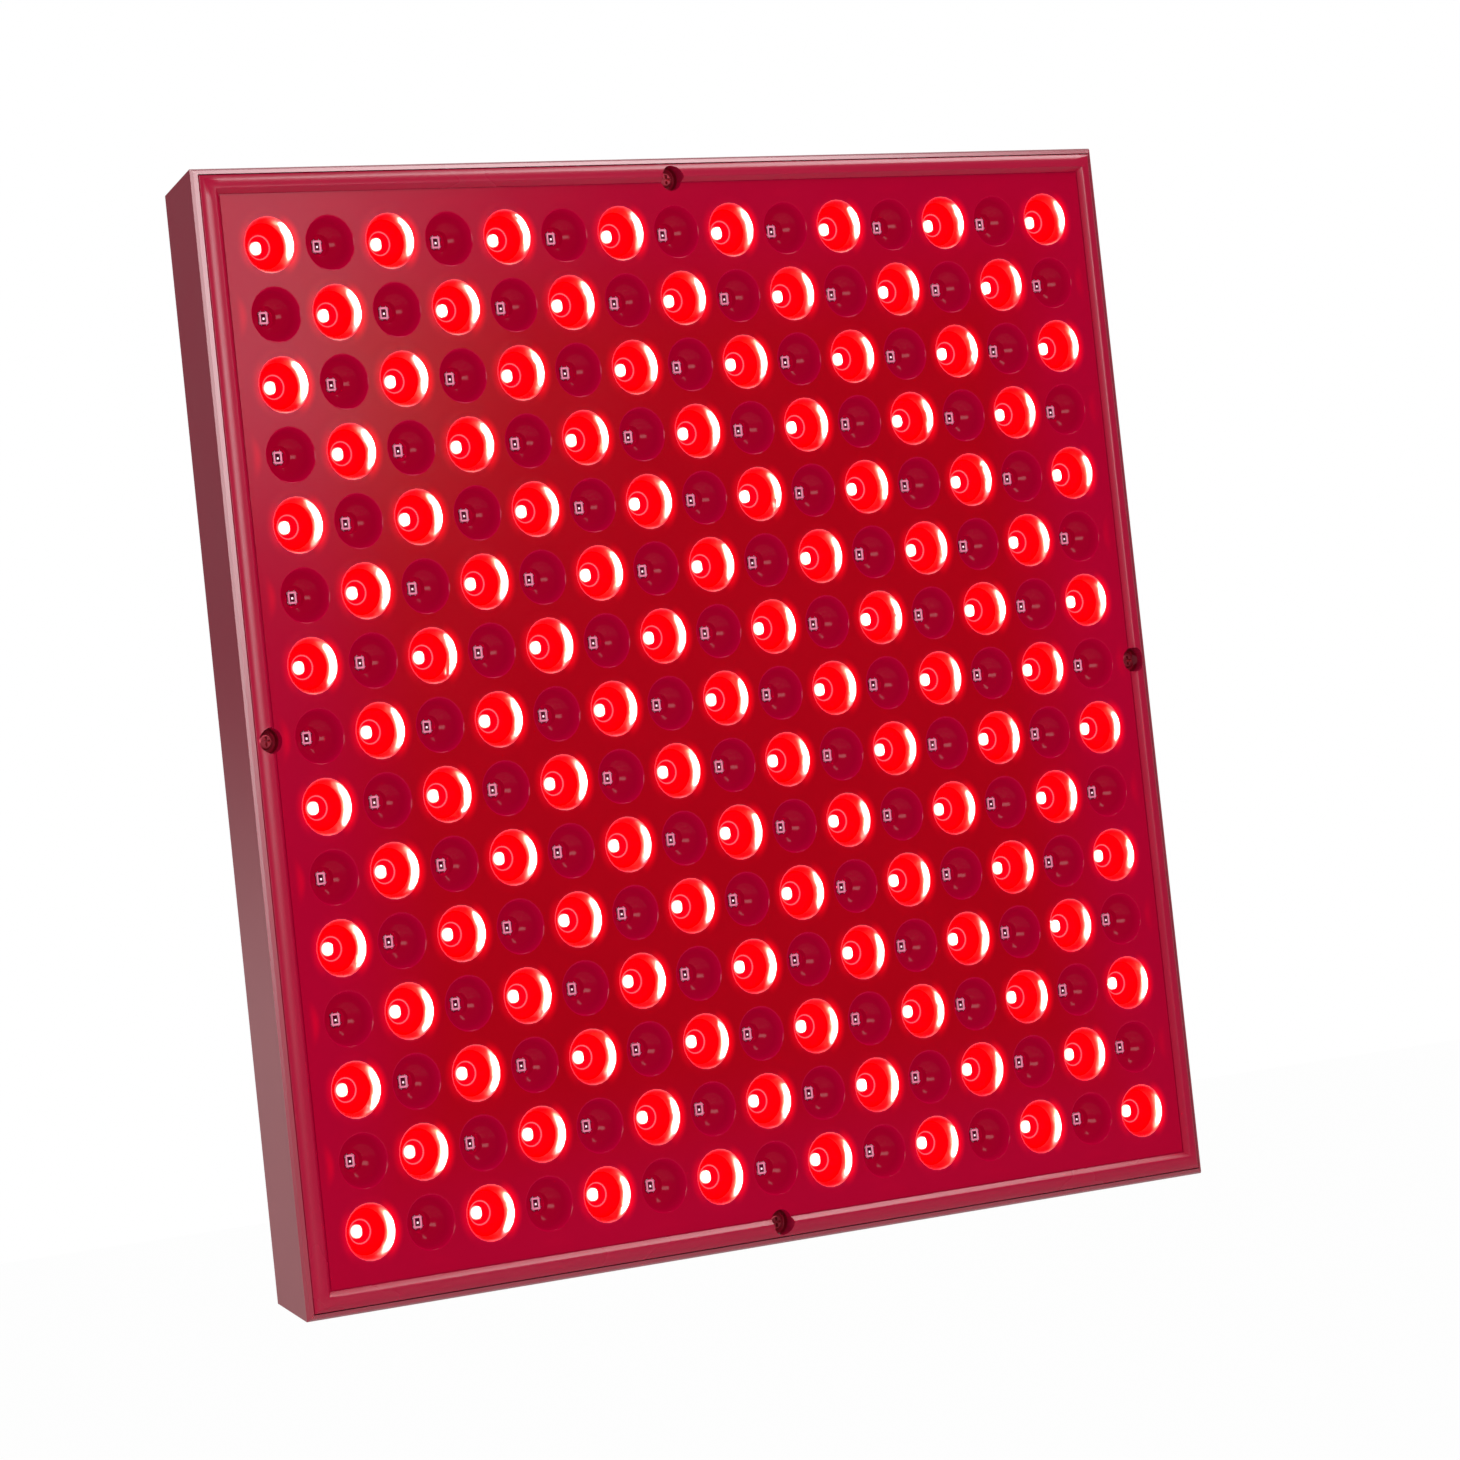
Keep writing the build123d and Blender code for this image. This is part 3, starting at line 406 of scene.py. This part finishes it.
class Bench:
    """A node tree with short ways to add and join its nodes."""

    def __init__(self, tree):
        self.tree = tree
        self.place = 0

    def add(self, kind, **values):
        n = self.tree.nodes.new(kind)
        self.place += 1
        n.location = (220 * (self.place % 12), -200 * (self.place // 12))
        for key, value in values.items():
            setattr(n, key, value)
        return n

    def put(self, source, socket):
        if isinstance(source, bpy.types.NodeSocket):
            self.tree.links.new(source, socket)
        else:
            socket.default_value = source

    def fill(self, node, values):
        for name, value in values.items():
            self.put(value, node.inputs[name])
        return node

    def math(self, what, a, b=0.0, c=0.0):
        n = self.add("ShaderNodeMath", operation=what)
        for source, socket in zip((a, b, c), n.inputs):
            self.put(source, socket)
        return n.outputs[0]

    def step(self, value, low, high, give_low=0.0, give_high=1.0, kind="SMOOTHSTEP"):
        """Goes from give_low to give_high while value goes from low to high, which may lie below low."""
        n = self.add("ShaderNodeMapRange", interpolation_type=kind)
        self.fill(n, {"Value": value, "From Min": low, "From Max": high,
                      "To Min": give_low, "To Max": give_high})
        return n.outputs["Result"]

    def noise(self, spot, scale, detail):
        n = self.add("ShaderNodeTexNoise")
        return self.fill(n, {"Vector": spot, "Scale": scale, "Detail": detail}).outputs[0]

    def mix(self, share, a, b):
        n = self.add("ShaderNodeMix", data_type="RGBA")
        self.put(share, n.inputs[0])
        self.put(a, n.inputs[6])
        self.put(b, n.inputs[7])
        return n.outputs[2]

    def ramp(self, value, stops):
        n = self.add("ShaderNodeValToRGB")
        band = n.color_ramp
        band.elements[0].position, band.elements[0].color = stops[0]
        band.elements[-1].position, band.elements[-1].color = stops[-1]
        for at, colour in stops[1:-1]:
            band.elements.new(at).color = colour
        self.put(value, n.inputs[0])
        return n.outputs[0]

    def group(self, tree, **values):
        n = self.add("ShaderNodeGroup", node_tree=tree)
        return self.fill(n, {key.replace("_", " "): value for key, value in values.items()}).outputs


def new_group(name, takes, gives):
    tree = bpy.data.node_groups.new(name, "ShaderNodeTree")
    for label, kind, value in takes:
        s = tree.interface.new_socket(name=label, in_out="INPUT", socket_type=kind)
        s.default_value = value
    for label, kind in gives:
        tree.interface.new_socket(name=label, in_out="OUTPUT", socket_type=kind)
    bench = Bench(tree)
    return bench, bench.add("NodeGroupInput").outputs, bench.add("NodeGroupOutput").inputs


def make_uneven():
    """Small changes of tone, sheen and height that a moulded or painted surface has."""
    broad_scale = 22
    b, got, out = new_group(
        "uneven surface",
        [("Colour", "NodeSocketColor", (0.5, 0.5, 0.5, 1)), ("Tone change", "NodeSocketFloat", 0.1),
         ("Roughness", "NodeSocketFloat", 0.4), ("Sheen change", "NodeSocketFloat", 0.1),
         ("Grain per mm", "NodeSocketFloat", 1.5)],
        [("Colour", "NodeSocketColor"), ("Roughness", "NodeSocketFloat"), ("Height", "NodeSocketFloat")])
    spot = b.add("ShaderNodeTexCoord").outputs["Object"]
    broad = b.noise(spot, broad_scale, 3)
    fine = b.noise(spot, b.math("MULTIPLY", got["Grain per mm"], 1 / MM), 2)
    centred = b.math("SUBTRACT", broad, 0.5)
    change = b.math("MULTIPLY_ADD", centred, b.math("MULTIPLY", got["Tone change"], 2.0), 1.0)
    tint = b.add("ShaderNodeVectorMath", operation="SCALE")
    b.put(got["Colour"], tint.inputs[0])
    b.put(change, tint.inputs["Scale"])
    b.put(tint.outputs[0], out["Colour"])
    b.put(b.math("MULTIPLY_ADD", centred, got["Sheen change"], got["Roughness"]), out["Roughness"])
    b.put(fine, out["Height"])
    return b.tree


def make_cup_pattern():
    """Where a point lies against the cups, in millimetres.
    To lit and To dark are its distances to the middle of the nearest lit and the nearest dark cup, and
    Beside is 1 straight to the right of the nearest lit cup and -1 straight to its left. Side is the
    larger of its two distances from the panel's middle lines, and Inside is 1 within the cup field."""
    b, got, out = new_group("cup pattern", [], [
        (label, "NodeSocketFloat")
        for label in ("To lit", "To dark", "Depth", "Side", "Inside", "Height", "Beside")])
    xyz = b.add("ShaderNodeSeparateXYZ")
    b.put(b.add("ShaderNodeTexCoord").outputs["Object"], xyz.inputs[0])
    x = b.math("MULTIPLY", xyz.outputs[0], 1 / MM / PITCH)
    z = b.math("MULTIPLY", xyz.outputs[2], 1 / MM / PITCH)
    total = b.math("MULTIPLY", b.math("ADD", x, z), 0.5)
    less = b.math("MULTIPLY", b.math("SUBTRACT", x, z), 0.5)

    def nearest(offset):
        gaps = []
        for v in (total, less):
            moved = b.math("ADD", v, offset)
            gaps.append(b.math("SUBTRACT", moved, b.math("ROUND", moved)))
        squares = [b.math("MULTIPLY", gap, gap) for gap in gaps]
        far = b.math("SQRT", b.math("MULTIPLY", b.math("ADD", *squares), 2.0))
        return b.math("MULTIPLY", far, PITCH), b.math("DIVIDE", b.math("ADD", *gaps), far)

    to_lit, beside = nearest(0.0)
    to_dark = nearest(0.5)[0]
    across = b.math("MULTIPLY", xyz.outputs[0], 1 / MM)
    up = b.math("MULTIPLY", xyz.outputs[2], 1 / MM)
    side = b.math("MAXIMUM", b.math("ABSOLUTE", across), b.math("ABSOLUTE", up))
    b.put(to_lit, out["To lit"])
    b.put(to_dark, out["To dark"])
    b.put(beside, out["Beside"])
    b.put(b.math("MULTIPLY", xyz.outputs[1], -1 / MM), out["Depth"])
    b.put(side, out["Side"])
    b.put(b.math("LESS_THAN", side, FIELD), out["Inside"])
    b.put(up, out["Height"])
    return b.tree


uneven = make_uneven()
cup_pattern = make_cup_pattern()


def new_finish(name):
    m = bpy.data.materials.new(name)
    m.use_nodes = True
    m.node_tree.nodes.clear()
    b = Bench(m.node_tree)
    shader = b.add("ShaderNodeBsdfPrincipled")
    b.end = b.add("ShaderNodeOutputMaterial").inputs[0]
    b.put(shader.outputs[0], b.end)
    return m, b, shader


def surface(b, shader, colour, roughness, change=0.08, sheen=0.08, grain=1.5, depth=0.01):
    """Colour and roughness that vary a little over the piece, and a fine grain depth millimetres high."""
    got = b.group(uneven, Colour=colour, Tone_change=change, Roughness=roughness, Sheen_change=sheen,
                  Grain_per_mm=grain)
    b.put(got["Colour"], shader.inputs["Base Color"])
    b.put(got["Roughness"], shader.inputs["Roughness"])
    n = b.add("ShaderNodeBump")
    n.inputs["Distance"].default_value = depth * MM
    n.inputs["Strength"].default_value = 1.0
    b.put(got["Height"], n.inputs["Height"])
    b.put(n.outputs[0], shader.inputs["Normal"])


def painted_glow(m, b, shader, light):
    """Painted light: a glow put on a surface that is no lamp, as it is seen. The renderer doesn't sample it
    as a lamp.
    """
    b.put(light, shader.inputs["Emission Color"])
    shader.inputs["Emission Strength"].default_value = 1.0
    m.cycles.emission_sampling = "NONE"


def plain_finish(name, colour, roughness, metallic=0.0, coat=0.0, level=0.5, **grain):
    m, b, shader = new_finish(name)
    surface(b, shader, colour, roughness, **grain)
    shader.inputs["Metallic"].default_value = metallic
    shader.inputs["Coat Weight"].default_value = coat
    shader.inputs["Specular IOR Level"].default_value = level
    return m


def plate_colours(b, at):
    """The flat plate: more crimson towards the border. Its glow is painted light of the diodes, with a
    painted halo on both sides of each lit cup.
    The halo starts at the rim, is strongest to the right and fades out where the cup field ends."""
    halo_width = 3.1
    left_share = 0.45
    all_round_share = 0.06
    near_cup = b.step(at["To lit"], RIM + halo_width, RIM + 0.1)
    near_field = b.step(at["Side"], FIELD + 3, FIELD - 2)
    to_right = b.step(at["Beside"], 0.35, 0.95)
    to_left = b.math("MULTIPLY", b.step(at["Beside"], -0.5, -1.0), left_share)
    way = b.math("MAXIMUM", b.math("MAXIMUM", to_right, to_left), all_round_share)
    painted_halo = b.math("MULTIPLY", b.math("MULTIPLY", near_cup, near_field), way)
    outer = b.step(at["Side"], 96, 146)
    body = b.mix(outer, tone(140, 0, 14), tone(142, 0, 34))
    # Emission: painted light of the diodes on the plate, brightest in the painted halo beside each lit cup.
    light = b.mix(painted_halo, b.mix(outer, tone(72, 0, 4), tone(76, 0, 16)), tone(226, 0, 12))
    sunk = b.math("LESS_THAN", at["Depth"], PLATE - MARGIN)
    return b.mix(sunk, body, tone(120, 2, 34)), b.mix(sunk, light, tone(96, 0, 22))


def lit_bowl_colours(b, at):
    """A lit bowl, from its hole up: a thin pale edge, then bright red, and pink under the rim, all painted
    light of its diode.
    """
    in_sleeve = b.math("LESS_THAN", at["Depth"], FLOOR - MARGIN)
    body = b.mix(in_sleeve, tone(120, 0, 0), tone(16, 0, 0))
    # Painted light: the diode's light on the bowl, from the hole to the rim. The sleeve's base is near
    # black, so there only this painted light shows.
    light = b.ramp(b.step(at["Depth"], FLOOR, PLATE, kind="LINEAR"), [
        (0.0, tone(206, 0, 24)), (0.004, tone(255, 112, 124)), (0.022, tone(255, 100, 112)),
        (0.036, tone(226, 0, 10)), (0.50, tone(232, 0, 4)), (0.93, tone(232, 0, 24)),
        (0.97, tone(232, 34, 60)), (1.0, tone(236, 70, 92))])
    return body, light


def dark_bowl_colours(b, at):
    # Painted light: a dark bowl glows crimson, lighter towards its rim.
    light = b.ramp(b.step(at["Depth"], FLOOR, PLATE, kind="LINEAR"), [
        (0.0, tone(134, 0, 28)), (0.5, tone(134, 0, 32)), (1.0, tone(154, 0, 40))])
    return tone(84, 0, 16), light


def border_colours(b, at):
    bevel = b.step(at["Side"], GROOVE_OUT, CREST[0][0])
    # A faint painted glow of red light on the border.
    return b.mix(bevel, tone(158, 8, 44), tone(152, 12, 46)), tone(20, 0, 6)


def add_polish(b, shader):
    """Adds the reflection of a polished wall, dim as red plastic is, in which the lit diode shows."""
    polish = b.add("ShaderNodeBsdfGlossy", distribution="BECKMANN")
    polish.inputs["Color"].default_value = (0.10, 0.085, 0.075, 1)
    polish.inputs["Roughness"].default_value = 0.345
    both = b.add("ShaderNodeAddShader")
    b.put(shader.outputs[0], both.inputs[0])
    b.put(polish.outputs[0], both.inputs[1])
    b.put(both.outputs[0], b.end)


def cover_finish(name, colours, roughness, level, polished=False):
    """A finish of the red moulding. colours gives its colour and its painted light, a glow standing in for
    the diodes' light, from the cup pattern.
    """
    m, b, shader = new_finish(name)
    body, light = colours(b, b.group(cup_pattern))
    surface(b, shader, body, roughness, change=0.06, sheen=0.08, grain=1.2, depth=0.004)
    shader.inputs["Specular IOR Level"].default_value = level
    painted_glow(m, b, shader, light)
    if polished:
        add_polish(b, shader)
    return m


def sort_faces(obj, label_of, finishes):
    """Gives each face of obj the finish whose label label_of answers for the face's middle."""
    obj.data.materials.clear()
    order = list(finishes)
    for label in order:
        obj.data.materials.append(finishes[label])
    for f in obj.data.polygons:
        f.material_index = order.index(label_of(f.center / MM))


def cover_part(c):
    """Names the part of the cover that a point lies on."""
    ease = RIM_EASE[0][0] + 0.1
    side = max(abs(c.x), abs(c.z))
    if side > GROOVE_OUT - MARGIN:
        return "border"
    column, line = round(c.x / PITCH), round(c.z / PITCH)
    reach = math.hypot(c.x - column * PITCH, c.z - line * PITCH)
    if -c.y > PLATE - HAIR or reach > ease or side > FIELD:
        return "plate"
    if (column + line) % 2:
        return "dark"
    return "wall" if -c.y > POLISH_FROM else "lit"


def housing_finish():
    """Maroon paint, with a paler, lacquered front lip. The lower half of the outer walls is painted greyer,
    a painted reflection of the pale floor.
    """
    outer_wall = 150.9
    lip_inside = 153.2
    lip_back = 26.75
    painted_reflection_from = 35
    painted_reflection_full = -85
    m, b, shader = new_finish("maroon housing paint")
    at = b.group(cup_pattern)
    lip = b.math("MULTIPLY", b.math("GREATER_THAN", at["Side"], lip_inside),
                 b.math("GREATER_THAN", at["Depth"], lip_back))
    # Painted reflection: the outer walls turn greyer towards the bottom, in place of the pale floor mirrored
    # in the paint.
    low = b.math("MULTIPLY", b.step(at["Height"], painted_reflection_from, painted_reflection_full),
                 b.math("GREATER_THAN", at["Side"], outer_wall))
    body = b.mix(low, tone(123, 17, 41), tone(156, 99, 103))
    body = b.mix(lip, body, tone(142, 44, 60))
    surface(b, shader, body, 0.36, change=0.07, sheen=0.12, grain=1.0, depth=0.006)
    b.put(lip, shader.inputs["Coat Weight"])
    shader.inputs["Coat Roughness"].default_value = 0.22
    shader.inputs["Specular IOR Level"].default_value = 0.03
    return m


def board_finish():
    """White lacquer. Through the cups' holes it is painted crimson, painted light of the red diodes, with a
    painted glow round each lit diode and a dimmer one in each dark cup's hole.
    """
    hole_reach = 5.0
    glow_reach = 4.0
    face_depth = 0.3
    m, b, shader = new_finish("white board lacquer")
    at = b.group(cup_pattern)
    face = b.math("MULTIPLY", b.math("GREATER_THAN", at["Depth"], BOARD_FACE - face_depth), at["Inside"])
    lit = b.math("MULTIPLY", b.math("LESS_THAN", at["To lit"], hole_reach), face)
    dark = b.math("MULTIPLY", b.math("LESS_THAN", at["To dark"], hole_reach), face)
    # Under the cups the white board gets a crimson base, painted light of the red diodes. Near each lit
    # diode the base is near black, so only the painted glow shows.
    body = b.mix(face, tone(205, 205, 200), tone(118, 0, 24))
    body = b.mix(lit, body, tone(14, 0, 0))
    surface(b, shader, body, 0.5, change=0.06, sheen=0.1, grain=1.5, depth=0.004)
    shader.inputs["Specular IOR Level"].default_value = 0.0
    # Painted glow of a lit diode on the board: a round white spot with a pink edge, ringed with red.
    painted_diode_spot = b.ramp(b.math("DIVIDE", at["To lit"], glow_reach), [
        (0.0, tone(255, 255, 250)), (0.42, tone(255, 250, 238)), (0.46, tone(255, 120, 120)),
        (0.50, tone(140, 0, 30)), (0.62, tone(170, 0, 20)), (1.0, tone(200, 0, 20))])
    light = b.mix(lit, tone(0, 0, 0), painted_diode_spot)
    painted_glow(m, b, shader, b.mix(dark, light, tone(122, 0, 27)))
    return m


def in_window(b, at):
    return b.math("LESS_THAN", at["Depth"], LED_FACE - WINDOW_SINK + 0.1)


def red_diode_finish():
    """A lit diode. To the eye it is just over white, and what it shines on gets its full strength."""
    strength_seen = 1.5
    strength_given = 5000.0
    m, b, shader = new_finish("red diode")
    at = b.group(cup_pattern)
    body = b.mix(in_window(b, at), tone(230, 200, 200), tone(230, 160, 150))
    surface(b, shader, body, 0.35, change=0.05, sheen=0.1, grain=3.0, depth=0.003)
    shader.inputs["Emission Color"].default_value = (1.0, 0.72, 0.55, 1)
    seen = b.add("ShaderNodeLightPath").outputs["Is Camera Ray"]
    strength = b.math("MULTIPLY_ADD", seen, strength_seen - strength_given, strength_given)
    b.put(strength, shader.inputs["Emission Strength"])
    m.cycles.emission_sampling = "FRONT"
    return m


def dark_diode_finish():
    """A diode that is off to the eye: pale frame, tinted window below it, bright chip in the middle. Though
    it is no lamp, it glows all over with painted light, brightest on the chip.
    """
    m, b, shader = new_finish("infrared diode")
    at = b.group(cup_pattern)
    chip_top = LED_FACE - WINDOW_SINK - CHIP_SINK + CHIP_HEIGHT
    on_frame = b.math("GREATER_THAN", at["Depth"], LED_FACE - 0.02)
    on_chip = b.math("MULTIPLY", b.math("LESS_THAN", at["Depth"], chip_top + 0.04),
                     b.math("GREATER_THAN", at["Depth"], chip_top - 0.02))
    body = b.mix(on_frame, tone(84, 0, 24), tone(216, 132, 160))
    body = b.mix(on_chip, body, tone(255, 235, 240))
    surface(b, shader, body, 0.35, change=0.05, sheen=0.1, grain=3.0, depth=0.003)
    # Painted light: frame, window and chip glow though the diode is off.
    light = b.mix(on_frame, tone(112, 0, 28), tone(120, 44, 74))
    light = b.mix(in_window(b, at), light, tone(60, 0, 18))
    painted_glow(m, b, shader, b.mix(on_chip, light, tone(220, 170, 190)))
    return m


def dress(obj, material):
    obj.data.materials.clear()
    obj.data.materials.append(material)


# The lit and dark bowls are one moulding; their finishes differ by the painted light of their diodes.
sort_faces(cover, cover_part, {
    "plate": cover_finish("plate moulding", plate_colours, 0.16, 0.11),
    "lit": cover_finish("lit bowl", lit_bowl_colours, 0.4, 0.0),
    "wall": cover_finish("lit bowl wall", lit_bowl_colours, 0.4, 0.0, polished=True),
    "dark": cover_finish("dark bowl", dark_bowl_colours, 0.12, 0.06),
    "border": cover_finish("border moulding", border_colours, 0.26, 0.25)})
dress(sleeves, plain_finish("well moulding", tone(120, 0, 26), 0.4, level=0.2))
dress(red_diodes, red_diode_finish())
dress(dark_diodes, dark_diode_finish())
dress(nodes["rear_housing"], housing_finish())
dress(nodes["led_board"], board_finish())

steel = dict(metallic=1.0, change=0.05, sheen=0.12, grain=2.0, depth=0.003)
rings = ["ring_top_left", "ring_top_right", "ring_bottom_left", "ring_bottom_right"]
plain_finishes = {
    "fish paper": (["insulation_sheet"], tone(196, 186, 160), 0.6, {}),
    "zinc screw": (["board_screws", "driver_screws"], tone(168, 170, 172), 0.32, steel),
    "dark screw": (["hanger_screws"], tone(70, 70, 72), 0.35, steel),
    "hanger steel": (["hanger_plates"], tone(172, 172, 170), 0.3, steel),
    "bright ring steel": (rings, tone(190, 190, 188), 0.22, steel),
    "bumper rubber": (["corner_bumpers"], tone(26, 26, 27), 0.75, dict(grain=3.0, depth=0.02)),
    "black plastic": (["mains_inlet", "switch_frame"], tone(22, 22, 24), 0.42, dict(grain=2.5, depth=0.012)),
    "nickel pin": (["inlet_pins"], tone(190, 186, 176), 0.22, steel),
    "rocker plastic": (["switch_rocker"], tone(30, 30, 32), 0.3, dict(grain=2.5, depth=0.006)),
    "brass blade": (["switch_blades"], tone(196, 164, 96), 0.28, steel),
    "driver board": (["driver_board"], tone(38, 92, 58), 0.4, dict(change=0.12)),
    "black epoxy": (["bridge_rectifier", "switching_transistor"], tone(28, 28, 30), 0.45, {}),
    "yellow film": (["film_capacitor"], tone(206, 160, 36), 0.4, {}),
    "ferrite": (["transformer_core"], tone(52, 50, 50), 0.6, dict(grain=3.0, depth=0.02)),
    "winding tape": (["transformer_coil"], tone(214, 190, 66), 0.38, dict(grain=0.6, depth=0.03)),
    "capacitor sleeve": (["driver_capacitors"], tone(34, 36, 60), 0.35, {}),
    "green choke coat": (["driver_choke"], tone(44, 96, 74), 0.5, dict(grain=1.0, depth=0.05)),
    "fuse glass": (["driver_fuse"], tone(206, 214, 212), 0.15, dict(coat=0.5)),
    "sink aluminium": (["driver_heatsink"], tone(178, 180, 182), 0.38, steel),
    "terminal green": (["driver_terminals"], tone(46, 130, 72), 0.42, {}),
    "brass pin": (["board_pins"], tone(200, 170, 104), 0.25, steel),
    "brown lead": (["live_lead", "switched_lead"], tone(98, 58, 38), 0.45, {}),
    "blue lead": (["neutral_lead"], tone(44, 86, 160), 0.45, {}),
    "red lead": (["board_leads"], tone(170, 32, 34), 0.45, {}),
    "cover screw": (["front_screws"], tone(150, 40, 56), 0.3,
                    dict(metallic=0.7, change=0.1, sheen=0.15, grain=2.0, depth=0.004)),
}
for label, (wearers, colour, roughness, extra) in plain_finishes.items():
    material = plain_finish(label, colour, roughness, **extra)
    for node in wearers:
        dress(nodes[node], material)


# Room, light and camera, in metres

WHITE = (1, 1, 1, 1)
BLACK = (0, 0, 0, 1)


def pale_world():
    """Soft light from all round. To the eye it is white. In a mirror it is white behind the panel, where
    the backdrop is, and dark in front of it."""
    soft = (0.27, 0.27, 0.275, 1)
    dark_share = 0.08
    world = bpy.data.worlds.new("studio")
    bpy.context.scene.world = world
    world.use_nodes = True
    world.node_tree.nodes.clear()
    b = Bench(world.node_tree)
    path = b.add("ShaderNodeLightPath").outputs
    way = b.add("ShaderNodeSeparateXYZ")
    b.put(b.add("ShaderNodeTexCoord").outputs["Generated"], way.inputs[0])
    backdrop = b.step(way.outputs[1], 0.35, 0.65, dark_share, 1.0)
    mirrored = b.math("MULTIPLY", path["Is Glossy Ray"], backdrop)
    straight = b.math("MAXIMUM", path["Is Camera Ray"], path["Is Transmission Ray"])
    light = b.mix(path["Is Glossy Ray"], soft, BLACK)
    back = b.add("ShaderNodeBackground")
    b.put(b.mix(b.math("MAXIMUM", straight, mirrored), light, WHITE), back.inputs[0])
    back.inputs[1].default_value = 1.0
    b.put(back.outputs[0], b.add("ShaderNodeOutputWorld").inputs[0])


def pale_floor():
    """A matt floor that looks white, and still shows a trace of the object's shadow."""
    floor_width = 12
    floor_height = -0.62
    white_share = 0.985
    deselect()
    bpy.ops.mesh.primitive_plane_add(size=floor_width, location=(0, 0, floor_height))
    floor = named("studio_floor")
    m = bpy.data.materials.new("pale floor")
    m.use_nodes = True
    m.node_tree.nodes.clear()
    b = Bench(m.node_tree)
    path = b.add("ShaderNodeLightPath").outputs
    straight = b.math("MAXIMUM", path["Is Camera Ray"], path["Is Transmission Ray"])
    matt = b.add("ShaderNodeBsdfDiffuse")
    matt.inputs["Color"].default_value = (0.66, 0.66, 0.66, 1)
    bright = b.add("ShaderNodeEmission")
    bright.inputs["Color"].default_value = WHITE
    both = b.add("ShaderNodeMixShader")
    b.put(b.math("MULTIPLY", straight, white_share), both.inputs[0])
    b.put(matt.outputs[0], both.inputs[1])
    b.put(bright.outputs[0], both.inputs[2])
    b.put(both.outputs[0], b.add("ShaderNodeOutputMaterial").inputs[0])
    dress(floor, m)


def soft_box(name, place, aim, width, height, power):
    light = bpy.data.lights.new(name, "AREA")
    light.shape = "RECTANGLE"
    light.size = width
    light.size_y = height
    light.energy = power
    obj = bpy.data.objects.new(name, light)
    bpy.context.scene.collection.objects.link(obj)
    obj.location = place
    obj.rotation_euler = (Vector(aim) - Vector(place)).to_track_quat("-Z", "Y").to_euler()
    obj.visible_camera = False


def view_camera(place, turn_deg, lens, shift_y):
    """The photograph's view, from a camera fitted to the middles of all the cups."""
    camera = bpy.data.objects.new("view_camera", bpy.data.cameras.new("view_camera"))
    bpy.context.scene.collection.objects.link(camera)
    camera.data.sensor_fit = "HORIZONTAL"
    camera.data.sensor_width = 36
    camera.data.lens = lens
    camera.data.shift_y = shift_y
    camera.data.clip_start = 0.05
    camera.data.clip_end = 50
    camera.location = place
    camera.rotation_euler = [math.radians(a) for a in turn_deg]
    return camera


pale_world()
pale_floor()
soft_box("key_box", (-0.70, -1.65, 0.29), (0, 0, 0.05), 1.0, 0.42, power=18)
soft_box("corner_box", (0.543, -1.39, 0.40), (-0.15, 0, 0.12), 0.34, 0.46, power=3.6)
soft_box("top_box", (1.0, -0.56, 1.54), (0, 0, 0.15), 1.4, 0.45, power=20)
soft_box("back_box", (0.7, 1.9, 0.8), (0, 0, 0), 1.2, 1.2, power=16)
soft_box("side_box", (-1.9, -0.03, 0.35), (0, 0, 0), 0.5, 0.9, power=12)
bpy.context.scene.camera = view_camera(
    (-0.8565, -1.2666, -0.0259), turn_deg=(92.477, 6.061, -34.614), lens=130.715, shift_y=-0.1164)
bpy.context.scene.view_settings.view_transform = "Standard"
